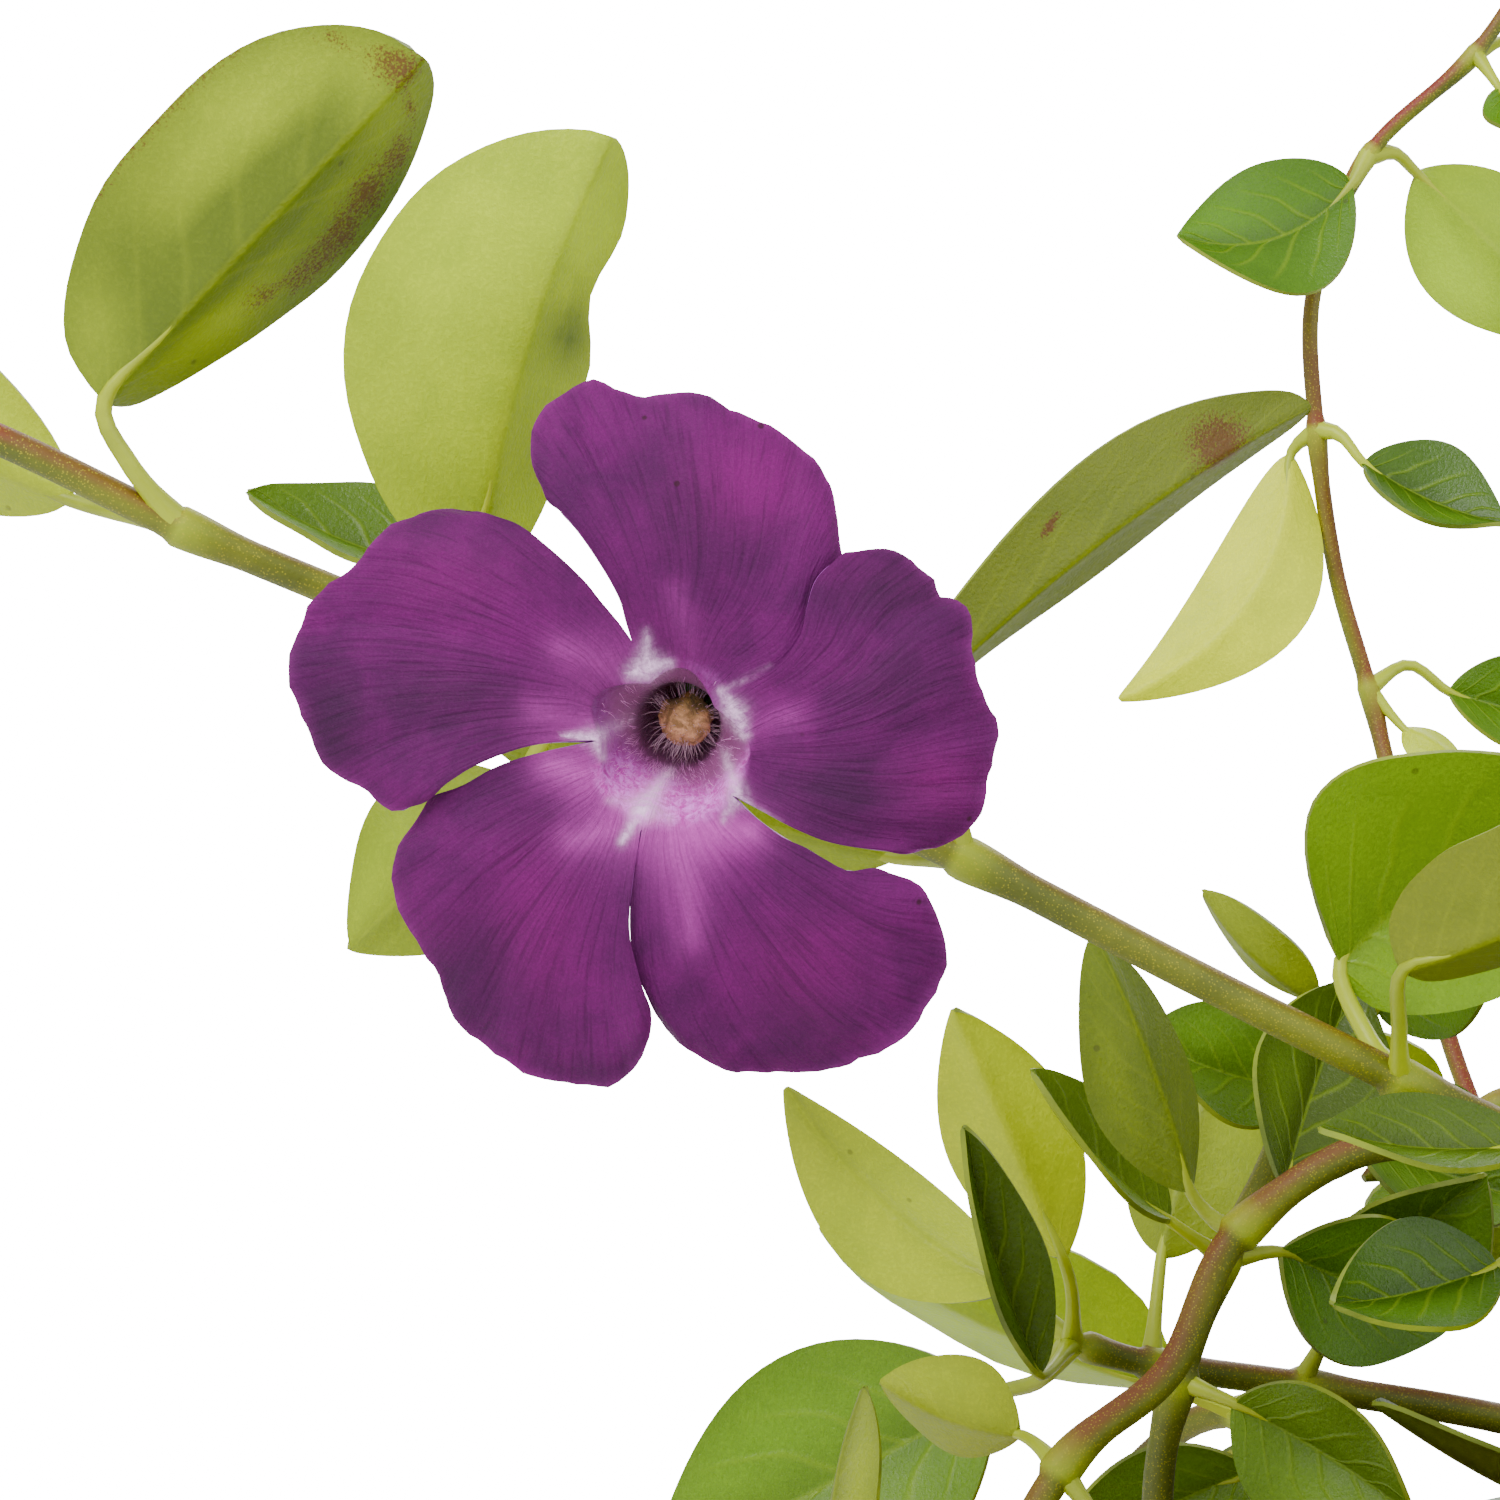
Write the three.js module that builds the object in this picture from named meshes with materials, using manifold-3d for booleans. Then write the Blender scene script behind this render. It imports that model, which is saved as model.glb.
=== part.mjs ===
// A potted lesser periwinkle: a clay pot of soil, trailing stems with paired leaves, and blooms.
// Millimetres, +Z up. The origin is the middle of the pot's underside.
import * as THREE from "three";
import { mergeVertices } from "three/addons/utils/BufferGeometryUtils.js";
import Module from "manifold-3d";

const wasm = await Module();
wasm.setup();

// Pot and soil
const POT_HEIGHT = 100;
const RIM_RADIUS = 62;
const RIM_DEPTH = 19;
const RIM_WALL = 6;
const BODY_RADIUS = 57.5;
const FOOT_RADIUS = 41;
const POT_WALL = 4.5;
const POT_FLOOR = 7;
const DRAIN_RADIUS = 4.5;
const DRAIN_CIRCLE = 20;
const DRAINS = 3;
const POT_SIDES = 30;
const SOIL_SIDES = 22;
const SOIL_LEVEL = 88;
const ROOT_DEPTH = 9;
const HOLE_CLEARANCE = 0.6;
const GAP = 0.3;

// Stems and leaves
const STEM_RADIUS = 0.95;
const TALL_STEM_RADIUS = 0.6;
const STEM_STEP = 10;
const STEM_SIDES = 5;
const LEAF_THICKNESS = 0.9;
const PETIOLE_HALF = 0.5;
const PETIOLE_LENGTH = 4.2;
const LEAF_LENGTH = 22;
const LEAF_HALF_SHARE = 0.27;
const INTERNODE = 21;
const FIRST_NODE = 24;
const TIP_SHRINK = 0.45;
const FIRST_SEED = 100;

// Blooms
const TUBE_LENGTH = 10.5;
const THROAT_RADIUS = 3.2;
const PETAL_THICKNESS = 0.7;
const SEPAL_THICKNESS = 0.8;
const PEDICEL_RADIUS = 0.6;
const STALK_STEP = 4;
const CALYX_DEPTH = 11.2;

// The middle of the view of the first bloom, and how far off it is seen from.
// Stems and leaves near it are placed as seen from there: right, up and back.
const MIDDLE = new THREE.Vector3(-75, -42, 147);
const SIGHT = 240;

const DEGREE = Math.PI / 180;
const UP = new THREE.Vector3(0, 0, 1);

const CLAY = new THREE.MeshStandardMaterial({ color: 0xb5653f, roughness: 0.9, metalness: 0 });
const SOIL = new THREE.MeshStandardMaterial({ color: 0x3a2a1f, roughness: 1, metalness: 0 });
const GREEN = new THREE.MeshStandardMaterial({ color: 0x6f9434, roughness: 0.55, metalness: 0 });
const PURPLE = new THREE.MeshStandardMaterial({ color: 0x702c82, roughness: 0.6, metalness: 0 });
const CREAM = new THREE.MeshStandardMaterial({ color: 0xc2a06a, roughness: 0.8, metalness: 0 });

const plant = new THREE.Group();

// Solids

function seen([right, up, back]) {
  const spread = (SIGHT + back) / SIGHT;
  return new THREE.Vector3(
    MIDDLE.x + right * spread,
    MIDDLE.y + back,
    MIDDLE.z + up * spread,
  );
}

function solidOf(geometry) {
  geometry.deleteAttribute("normal");
  geometry.deleteAttribute("uv");
  const merged = mergeVertices(geometry, 1e-4);
  const corners = merged.index.array;
  const kept = [];
  for (let i = 0; i < corners.length; i += 3) {
    const [a, b, c] = corners.slice(i, i + 3);
    if (a !== b && b !== c && c !== a) kept.push(a, b, c);
  }
  return new wasm.Manifold(
    new wasm.Mesh({
      numProp: 3,
      vertProperties: new Float32Array(merged.attributes.position.array),
      triVerts: new Uint32Array(kept),
    }),
  );
}

// Edges shorter than this, in mm, are left out of a finished piece.
const SHORTEST_EDGE = 0.02;

function addPiece(name, solid, material) {
  const mesh = solid.simplify(SHORTEST_EDGE).getMesh();
  const geometry = new THREE.BufferGeometry();
  geometry.setAttribute("position", new THREE.BufferAttribute(mesh.vertProperties, 3));
  geometry.setIndex(new THREE.BufferAttribute(mesh.triVerts, 1));
  geometry.computeVertexNormals();
  const piece = new THREE.Mesh(geometry, material);
  piece.name = name;
  plant.add(piece);
}

// A closed sheet over a grid of points: half its thickness on each side, tapered to a sharp rim,
// with both faces split alike.
function sheetSolid(rows, thickness) {
  const across = rows[0].length;
  const positions = [];
  let above = null;
  rows.forEach((row, i) => {
    const before = rows[Math.max(i - 1, 0)];
    const after = rows[Math.min(i + 1, rows.length - 1)];
    above = row.map((point, j) => {
      const along = after[j].clone().sub(before[j]);
      const right = row[Math.min(j + 1, across - 1)].clone().sub(row[Math.max(j - 1, 0)]);
      const normal = right.cross(along);
      return normal.length() > 1e-6 ? normal.normalize() : above[j].clone();
    });
    row.forEach((point, j) => {
      const onRim = j === 0 || j === across - 1 || i === rows.length - 1;
      const lift = above[j].clone().multiplyScalar(onRim ? 0 : thickness / 2);
      positions.push(...point.clone().add(lift).toArray());
      positions.push(...point.clone().sub(lift).toArray());
    });
  });
  const top = (i, j) => 2 * (i * across + j);
  const under = (i, j) => top(i, j) + 1;
  const faces = [];
  const wall = (i, j, m, n) => {
    faces.push(top(i, j), under(i, j), under(m, n));
    faces.push(top(i, j), under(m, n), top(m, n));
  };
  const last = rows.length - 1;
  for (let i = 0; i < last; i += 1) {
    for (let j = 0; j < across - 1; j += 1) {
      faces.push(top(i, j), top(i, j + 1), top(i + 1, j + 1));
      faces.push(top(i, j), top(i + 1, j + 1), top(i + 1, j));
      faces.push(under(i, j), under(i + 1, j + 1), under(i, j + 1));
      faces.push(under(i, j), under(i + 1, j), under(i + 1, j + 1));
    }
    wall(i + 1, 0, i, 0);
    wall(i, across - 1, i + 1, across - 1);
  }
  for (let j = 0; j < across - 1; j += 1) {
    wall(0, j, 0, j + 1);
    wall(last, j + 1, last, j);
  }
  const geometry = new THREE.BufferGeometry();
  geometry.setAttribute("position", new THREE.Float32BufferAttribute(positions, 3));
  geometry.setIndex(faces);
  return solidOf(geometry);
}

function latheSolid(profile, segments) {
  const points = profile.map(([radius, height]) => new THREE.Vector2(radius, height));
  return solidOf(new THREE.LatheGeometry(points, segments).rotateX(90 * DEGREE));
}

function tubeSolid(path, radius, length, step) {
  const corners = [];
  for (let k = 0; k < STEM_SIDES; k += 1) {
    const turn = (2 * Math.PI * k) / STEM_SIDES;
    corners.push(new THREE.Vector2(radius * Math.cos(turn), radius * Math.sin(turn)));
  }
  const steps = Math.max(2, Math.round(length / step));
  const section = new THREE.Shape(corners);
  return solidOf(new THREE.ExtrudeGeometry(section, { steps, extrudePath: path }));
}

// The same draws in the same order every time.
function seededDraws(seed) {
  let state = seed >>> 0;
  return (low, high) => {
    state = (state + 0x6d2b79f5) >>> 0;
    let mixed = state;
    mixed = Math.imul(mixed ^ (mixed >>> 15), mixed | 1);
    mixed ^= mixed + Math.imul(mixed ^ (mixed >>> 7), mixed | 61);
    const share = ((mixed ^ (mixed >>> 14)) >>> 0) / 4294967296;
    return low + (high - low) * share;
  };
}

// What is already in place, so that leaves and stems are bent clear of it.
const placed = [];

function place(owner, kind, solid) {
  placed.push({ owner, kind, solid, box: solid.boundingBox() });
}

function boxesMeet(a, b, margin) {
  return [0, 1, 2].every((k) => a.min[k] < b.max[k] + margin && b.min[k] < a.max[k] + margin);
}

// A leaf is clear of other nodes all over, and its blade is clear of its own shoot's leaves.
function isClear(owner, whole, blade) {
  return placed.every((other) => {
    if (other.owner === owner && other.kind === "stem") return true;
    const solid = other.owner === owner ? blade : whole;
    if (!boxesMeet(solid.boundingBox(), other.box, GAP)) return true;
    return solid.minGap(other.solid, GAP) >= GAP * 0.98;
  });
}

// Pot

function buildPot() {
  const under = POT_HEIGHT - RIM_DEPTH;
  const inner = RIM_RADIUS - RIM_WALL;
  const profile = [
    [0, 0],
    [FOOT_RADIUS - 1.5, 0],
    [FOOT_RADIUS, 1.5],
    [BODY_RADIUS, under],
    [RIM_RADIUS - 1, under],
    [RIM_RADIUS, under + 1],
    [RIM_RADIUS, POT_HEIGHT - 1.5],
    [RIM_RADIUS - 1.5, POT_HEIGHT],
    [inner + 1.5, POT_HEIGHT],
    [inner, POT_HEIGHT - 1.5],
    [BODY_RADIUS - POT_WALL, under - 2],
    [FOOT_RADIUS - POT_WALL, POT_FLOOR + 2],
    [FOOT_RADIUS - POT_WALL - 2, POT_FLOOR],
    [0, POT_FLOOR],
  ];
  let pot = latheSolid(profile, POT_SIDES);
  for (let k = 0; k < DRAINS; k += 1) {
    const drain = new THREE.CylinderGeometry(DRAIN_RADIUS, DRAIN_RADIUS, 3 * POT_FLOOR, 8);
    const turn = (2 * Math.PI * k) / DRAINS;
    drain.rotateX(90 * DEGREE);
    drain.translate(DRAIN_CIRCLE * Math.cos(turn), DRAIN_CIRCLE * Math.sin(turn), 0);
    pot = pot.subtract(solidOf(drain));
  }
  return pot;
}

// How far the pot's inside is from its axis at a height, at the middle of a side.
function innerRadius(height) {
  const under = POT_HEIGHT - RIM_DEPTH - 2;
  const low = [FOOT_RADIUS - POT_WALL, POT_FLOOR + 2];
  const middle = [BODY_RADIUS - POT_WALL, under];
  const high = [RIM_RADIUS - RIM_WALL, POT_HEIGHT - 1.5];
  const [from, to] = height < under ? [low, middle] : [middle, high];
  const corner = from[0] + ((to[0] - from[0]) * (height - from[1])) / (to[1] - from[1]);
  return corner * Math.cos(Math.PI / POT_SIDES);
}

// Soil: fills the pot to a lumpy top, with a plain hole for each stem.

function lumps(x, y) {
  return (
    1.1 * Math.sin(x * 0.19 + 1) * Math.cos(y * 0.16) +
    0.6 * Math.sin(x * 0.43 + y * 0.31) +
    0.4 * Math.cos(y * 0.57 - x * 0.12)
  );
}

function buildSoil(stems) {
  const bottom = POT_FLOOR + GAP;
  const bend = POT_HEIGHT - RIM_DEPTH - 2;
  const edge = innerRadius(SOIL_LEVEL) - GAP - 0.2;
  const profile = [
    [0, bottom],
    [FOOT_RADIUS - POT_WALL - 2.6, bottom],
    [innerRadius(POT_FLOOR + 2.2) - GAP, POT_FLOOR + 2.6],
    [innerRadius(bend) - GAP, bend],
    [edge, SOIL_LEVEL - 1.5],
    [edge - 3, SOIL_LEVEL],
    [36, SOIL_LEVEL],
    [18, SOIL_LEVEL],
    [0, SOIL_LEVEL],
  ];
  const points = profile.map(([radius, height]) => new THREE.Vector2(radius, height));
  const geometry = new THREE.LatheGeometry(points, SOIL_SIDES).rotateX(90 * DEGREE);
  const position = geometry.attributes.position;
  for (let k = 0; k < position.count; k += 1) {
    const height = position.getZ(k);
    if (height > SOIL_LEVEL - 0.1) {
      position.setZ(k, height + lumps(position.getX(k), position.getY(k)));
    }
  }
  let soil = solidOf(geometry);
  for (const { base, radius } of stems) {
    const wide = radius + HOLE_CLEARANCE;
    const deep = ROOT_DEPTH + 6;
    const hole = new THREE.CylinderGeometry(wide, wide, deep, 5);
    hole.rotateX(90 * DEGREE);
    hole.translate(base[0], base[1], SOIL_LEVEL - ROOT_DEPTH - GAP + deep / 2);
    soil = soil.subtract(solidOf(hole));
  }
  return soil;
}

// Stems: each starts upright in the soil and then follows its own points.

const FOOT_HEIGHTS = [-ROOT_DEPTH, 1.5, 5.5];
const FOOT_POINTS = FOOT_HEIGHTS.length;

function stemPoints([x, y], route) {
  const foot = FOOT_HEIGHTS.map((height) => new THREE.Vector3(x, y, SOIL_LEVEL + height));
  return [...foot, ...route];
}

const SPAN_STEPS = 20;

// Places and directions along a stem, by the length walked from its lower end or by its point.
function measure(points) {
  const curve = new THREE.CatmullRomCurve3(points, false, "catmullrom", 0.5);
  const count = SPAN_STEPS * (points.length - 1);
  const places = [];
  for (let k = 0; k <= count; k += 1) places.push(curve.getPoint(k / count));
  const walked = [0];
  for (let k = 1; k <= count; k += 1) {
    walked.push(walked[k - 1] + places[k].distanceTo(places[k - 1]));
  }
  const at = (length) => {
    let k = 1;
    while (k < count && walked[k] < length) k += 1;
    const share = (length - walked[k - 1]) / (walked[k] - walked[k - 1]);
    const point = places[k - 1].clone().lerp(places[k], Math.min(share, 1));
    const along = places[k].clone().sub(places[k - 1]).normalize();
    return { point, along };
  };
  const atPoint = (number) => at(walked[SPAN_STEPS * number]);
  return { curve, length: walked[count], at, atPoint };
}

// Leaves: a narrow petiole, then a blade folded up along its midrib and bowed.

function bladeWidth(share) {
  return Math.sin(Math.PI * share ** 0.85) ** 0.8;
}

function leafRows(leaf, shares) {
  const { root, neck, tip, half, fold, bow, sickle, elbow } = leaf;
  const axis = tip.clone().sub(neck).normalize();
  const face = leaf.face.clone().addScaledVector(axis, -leaf.face.dot(axis)).normalize();
  const side = axis.clone().cross(face);
  const middle = neck.clone().add(tip).multiplyScalar(0.5);
  middle.addScaledVector(face, 2 * bow).addScaledVector(side, 2 * sickle);
  const midrib = new THREE.QuadraticBezierCurve3(neck, middle, tip);
  const rows = [];
  const strip = (point) => [-1, 0, 1].map((k) => point.clone().addScaledVector(side, k * PETIOLE_HALF));
  rows.push(strip(root));
  if (elbow) rows.push(strip(elbow));
  rows.push(strip(neck));
  for (const share of shares) {
    const point = midrib.getPoint(share);
    const width = half * bladeWidth(share);
    rows.push(
      [-1, 0, 1].map((k) =>
        point
          .clone()
          .addScaledVector(side, k * width * Math.cos(fold))
          .addScaledVector(face, Math.abs(k) * width * Math.sin(fold)),
      ),
    );
  }
  rows.push([0, 1, 2].map(() => tip.clone()));
  return rows;
}

function leafSolids(leaf, shares) {
  const rows = leafRows(leaf, shares);
  const neck = rows.length - shares.length - 2;
  return {
    whole: sheetSolid(rows, LEAF_THICKNESS),
    blade: sheetSolid(rows.slice(neck), LEAF_THICKNESS),
  };
}

const FINE_SHARES = [0.2, 0.5, 0.8];
const PLAIN_SHARES = [0.3, 0.7];

// How a leaf set by hand may move back or forward, in mm, to clear what is already in place.
const SHIFTS = [0, 1.5, -1.5, 3, -3, 4.5, -4.5, 6, -6, 8];

// A leaf whose neck and tip are given as seen. turn is how its upper side faces: 0 to the front,
// 180 away, and between them turned about the leaf's own length.
function setLeaf(stem, row, shift) {
  const axis = seen(row.tip).sub(seen(row.neck)).normalize();
  const front = new THREE.Vector3(0, -1, 0);
  front.addScaledVector(axis, -front.dot(axis)).normalize();
  const face = front.clone().applyAxisAngle(axis, row.turn * DEGREE);
  const moved = ([right, up, back]) => seen([right, up, back + shift]);
  return {
    root: stem.atPoint(row.node + FOOT_POINTS).point,
    elbow: row.elbow ? moved(row.elbow) : null,
    neck: moved(row.neck),
    tip: moved(row.tip),
    half: row.half,
    fold: (row.fold ?? 26) * DEGREE,
    bow: row.bow ?? -0.8,
    sickle: row.sickle ?? 0,
    face,
  };
}

// How a leaf placed by the rule may turn about its stem, lean and shrink to clear its neighbours.
const TRIES = [
  [0, 0, 1],
  [22, 0, 1],
  [-22, 0, 1],
  [0, 18, 1],
  [0, -18, 1],
  [40, 8, 0.9],
  [-40, 8, 0.9],
  [0, 30, 0.8],
  [65, 0, 0.8],
  [-65, 0, 0.8],
  [90, 20, 0.7],
];

function ruleLeaf(stem, spot, draw, [turned, leant, shrunk]) {
  const { point, along } = stem.at(spot.length);
  const level = new THREE.Vector3(-Math.sin(spot.azimuth), Math.cos(spot.azimuth), 0);
  const across = level.clone().addScaledVector(along, -level.dot(along)).normalize();
  const over = along.clone().cross(across);
  const turn = (spot.turn + turned) * DEGREE;
  const lean = (draw.lean + leant) * DEGREE;
  const out = across
    .clone()
    .multiplyScalar(Math.cos(turn))
    .addScaledVector(over, Math.sin(turn))
    .multiplyScalar(draw.side * Math.cos(lean))
    .addScaledVector(along, Math.sin(lean));
  const blade = out.clone().addScaledVector(UP, draw.droop).normalize();
  const size = draw.size * shrunk;
  const neck = point.clone().addScaledVector(out, PETIOLE_LENGTH * (0.5 + 0.5 * size));
  const tip = neck.clone().addScaledVector(blade, LEAF_LENGTH * size);
  const face = UP.clone().multiplyScalar(0.8).addScaledVector(along, 0.45);
  face.addScaledVector(blade, -face.dot(blade)).normalize();
  face.applyAxisAngle(blade, draw.roll * DEGREE);
  return {
    root: point,
    neck,
    tip,
    half: LEAF_LENGTH * LEAF_HALF_SHARE * size * draw.width,
    fold: draw.fold * DEGREE,
    bow: draw.bow * size,
    sickle: draw.sickle * size,
    face,
  };
}

// The spots of a stem's leaf pairs and the draws for each leaf, from first to last.
function ruleLeaves(stem, { azimuth, flat, seed }) {
  const draws = seededDraws(seed);
  const leaves = [];
  let length = FIRST_NODE;
  let pair = 0;
  while (length < stem.length - 1) {
    const share = length / stem.length;
    const quarter = (pair % 2) * (flat ? 34 : 90);
    const turn = quarter + draws(-14, 14);
    for (const side of [-1, 1]) {
      const draw = {
        side,
        lean: draws(22, 48),
        droop: draws(-0.5, 0.12),
        size: draws(0.86, 1.12) * (1 - TIP_SHRINK * share ** 3),
        width: draws(0.9, 1.12),
        roll: draws(-16, 16),
        fold: draws(12, 28),
        bow: draws(-1.6, 0.4),
        sickle: draws(-0.7, 0.7),
      };
      leaves.push({ spot: { length, azimuth, turn }, draw });
    }
    length += INTERNODE * draws(0.86, 1.12) * (1 - 0.45 * share);
    pair += 1;
  }
  return leaves;
}

// The shoots near the first bloom, set by hand. A route's points and a leaf's places are as seen.
// nodes are the numbers of the route's points that carry leaves.
const SET_SHOOTS = [
  {
    name: "flowering_shoot",
    base: [-12, -6],
    radius: STEM_RADIUS,
    route: [
      [46.0, -30.5, 33],
      [39.5, -21.3, 30],
      [35.2, -17.7, 27],
      [27.4, -13.9, 23],
      [18.4, -9.4, 21],
      [9.1, -4.6, 20],
      [0.8, -0.9, 20],
      [-7.6, 2.4, 20],
      [-15.9, 6.0, 18],
      [-24.0, 9.4, 16],
      [-31.7, 13.1, 15],
      [-41.8, 17.2, 16],
      [-48.2, 19.7, 18],
    ],
    leaves: [
      { node: 9, elbow: [-26.2, 12.1, 14.5], neck: [-27.3, 14.8, 14], tip: [-13.9, 29.3, 13],
        half: 7.2, turn: 215, fold: 30, bow: -0.6, sickle: 0.4 },
      { node: 9, neck: [-28.6, 10.6, 20], tip: [-45.6, 19.2, 24], half: 4.9, turn: 150 },
      { node: 7, neck: [-11.6, 7.2, 18], tip: [-6.0, 25.9, 15],
        half: 8.0, turn: 213, fold: 30, bow: -0.6, sickle: 1.5 },
      { node: 7, elbow: [-9.2, 4.6, 24], neck: [-11.6, 7.4, 26], tip: [-21.2, 11.0, 28],
        half: 3.6, turn: 55 },
      { node: 7, neck: [-9.8, -1.4, 24], tip: [-16.8, -8.4, 27], half: 4.8, turn: 185 },
      { node: 5, neck: [6.0, -4.5, 23], tip: [-11.0, 0.5, 25], half: 3.3, turn: 165 },
      { node: 5, elbow: [8.4, -1.2, 18.5], neck: [6.6, 1.8, 19], tip: [23.5, 14.6, 26],
        half: 3.5, turn: 226, sickle: 2.1 },
      { node: 3, elbow: [26.1, -12.2, 25], neck: [24.9, -9.1, 26], tip: [37.6, -4.0, 24],
        half: 6.2, turn: 14, fold: 16, sickle: -1.8 },
      { node: 3, elbow: [27.4, -11.8, 20], neck: [27.5, -9.2, 18], tip: [38.6, -4.0, 14],
        half: 4.6, turn: 214, fold: 32 },
      { node: 2, neck: [33.0, -16.6, 22], tip: [24.1, -15.9, 17], half: 2.7, turn: 50 },
      { node: 2, elbow: [34.0, -20.0, 25], neck: [31.6, -21.7, 23], tip: [24.6, -23.3, 19],
        half: 3.4, turn: 35 },
      { node: 11, neck: [-44.9, 21.3, 16], tip: [-57.4, 30.2, 13], half: 4.2, turn: 190 },
      { node: 11, neck: [-46.4, 15.2, 19], tip: [-60.6, 12.6, 24], half: 4.0, turn: 20 },
      { node: 12, neck: [-50.0, 21.8, 17], tip: [-56.0, 28.0, 12], half: 2.2, turn: 160 },
      { node: 12, neck: [-50.6, 19.4, 20], tip: [-58.6, 20.2, 24], half: 2.2, turn: 0 },
    ],
  },
  {
    name: "arching_shoot",
    base: [-22, 8],
    radius: STEM_RADIUS,
    route: [
      [35.0, -20.0, 44],
      [27.4, -16.6, 40],
      [20.7, -20.3, 38],
      [17.7, -26.2, 36],
      [13.1, -30.4, 34],
      [8.4, -39.6, 32],
      [4.6, -50.0, 31],
      [3.2, -61.0, 31],
    ],
    leaves: [
      { node: 2, elbow: [19.7, -19.9, 38.5], neck: [18.5, -18.6, 38], tip: [14.4, -7.8, 35],
        half: 3.4, turn: 205, fold: 32 },
      { node: 2, neck: [22.6, -18.4, 44], tip: [25.6, -9.6, 52], half: 4.4, turn: 10 },
      { node: 4, elbow: [12.2, -29.4, 36], neck: [11.4, -28.8, 38], tip: [5.6, -26.6, 40],
        half: 3.2, turn: 150 },
      { node: 4, neck: [15.4, -33.4, 32], tip: [23.0, -38.6, 26], half: 4.0, turn: 20 },
      { node: 5, neck: [3.6, -36.4, 34], tip: [5.0, -26.9, 38], half: 2.4, turn: 120 },
      { node: 6, neck: [1.4, -51.4, 34], tip: [-9.6, -57.0, 40], half: 4.2, turn: 10 },
      { node: 6, neck: [6.6, -53.0, 28], tip: [12.0, -63.6, 20], half: 3.8, turn: 15 },
      { node: 7, neck: [2.2, -63.8, 33], tip: [-2.0, -71.6, 38], half: 2.6, turn: 10 },
      { node: 7, neck: [4.4, -63.8, 29], tip: [8.6, -70.6, 25], half: 2.4, turn: 0 },
    ],
  },
  {
    name: "level_shoot",
    base: [-26, 24],
    radius: STEM_RADIUS,
    route: [
      [35.5, -29.6, 64],
      [31.6, -28.2, 62],
      [23.2, -26.8, 60],
      [16.9, -25.9, 58],
      [13.6, -25.0, 56],
    ],
    leaves: [
      { node: 4, elbow: [13.6, -23.0, 53], neck: [13.2, -21.4, 51], tip: [8.6, -10.9, 49],
        half: 3.7, turn: 178, fold: 24, bow: 0.8 },
      { node: 4, elbow: [12.4, -23.8, 57], neck: [11.0, -22.8, 58], tip: [1.5, -14.3, 62],
        half: 3.6, turn: 200, bow: 1.2, sickle: 0.9 },
      { node: 4, neck: [12.3, -26.4, 49], tip: [9.1, -15.9, 45], half: 2.6, turn: 35, fold: 40 },
      { node: 4, elbow: [12.2, -26.6, 58], neck: [10.2, -27.2, 60], tip: [-4.2, -34.8, 62],
        half: 7.2, turn: 20, fold: 12 },
      { node: 3, neck: [17.4, -21.4, 61], tip: [20.2, -12.0, 66], half: 4.2, turn: 150 },
      { node: 2, neck: [25.0, -23.6, 58], tip: [31.0, -18.0, 52], half: 4.6, turn: 20 },
      { node: 2, neck: [21.2, -30.4, 60], tip: [12.4, -34.6, 60], half: 4.4, turn: 350 },
    ],
  },
  {
    name: "short_shoot",
    base: [-44, 13],
    radius: STEM_RADIUS,
    route: [
      [17.6, -38.8, 52],
      [17.2, -31.6, 51],
      [18.1, -26.6, 50],
      [20.0, -21.5, 50],
      [22.8, -16.0, 50],
      [24.4, -12.0, 50],
    ],
    leaves: [
      { node: 4, elbow: [23.6, -15.0, 47], neck: [23.2, -14.3, 45], tip: [16.7, -12.0, 40],
        half: 3.6, turn: 40, fold: 14 },
      { node: 4, neck: [25.4, -16.0, 54], tip: [33.0, -19.0, 58], half: 4.6, turn: 330 },
      { node: 5, neck: [24.0, -10.6, 50], tip: [19.2, -5.8, 50], half: 2.0, turn: 130 },
      { node: 5, neck: [26.4, -11.0, 46], tip: [31.4, -8.4, 36], half: 3.2, turn: 0 },
      { node: 3, neck: [22.4, -21.2, 54], tip: [29.6, -24.4, 58], half: 4.4, turn: 0 },
      { node: 3, neck: [17.8, -19.8, 48], tip: [12.0, -13.4, 44], half: 3.2, turn: 60 },
      { node: 2, neck: [20.4, -27.6, 48], tip: [28.0, -32.4, 44], half: 4.2, turn: 20 },
    ],
  },
  {
    name: "tall_shoot",
    base: [-14, 34],
    radius: TALL_STEM_RADIUS,
    route: [
      [31.4, -17.0, 92],
      [27.4, -2.6, 98],
      [26.1, 2.6, 100],
      [24.7, 7.6, 100],
      [23.9, 13.5, 100],
      [23.8, 19.4, 100],
      [26.1, 25.1, 100],
      [30.6, 29.4, 100],
      [33.8, 34.2, 100],
    ],
    leaves: [
      { node: 6, neck: [25.4, 23.9, 99], tip: [18.1, 21.7, 96],
        half: 4.6, turn: 20, fold: 14, sickle: -1.6 },
      { node: 6, elbow: [27.2, 25.2, 101], neck: [28.1, 24.3, 102], tip: [34.6, 17.4, 104],
        half: 4.8, turn: 165, fold: 14 },
      { node: 4, neck: [22.8, 12.4, 101], tip: [15.6, 2.1, 98],
        half: 3.6, turn: 195, fold: 16, sickle: 3.2 },
      { node: 4, elbow: [24.9, 13.3, 99], neck: [25.9, 12.2, 98], tip: [31.9, 9.6, 96],
        half: 3.7, turn: 320 },
      { node: 2, elbow: [27.8, 3.6, 101], neck: [29.5, 2.5, 101], tip: [36.4, 1.0, 102],
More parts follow.
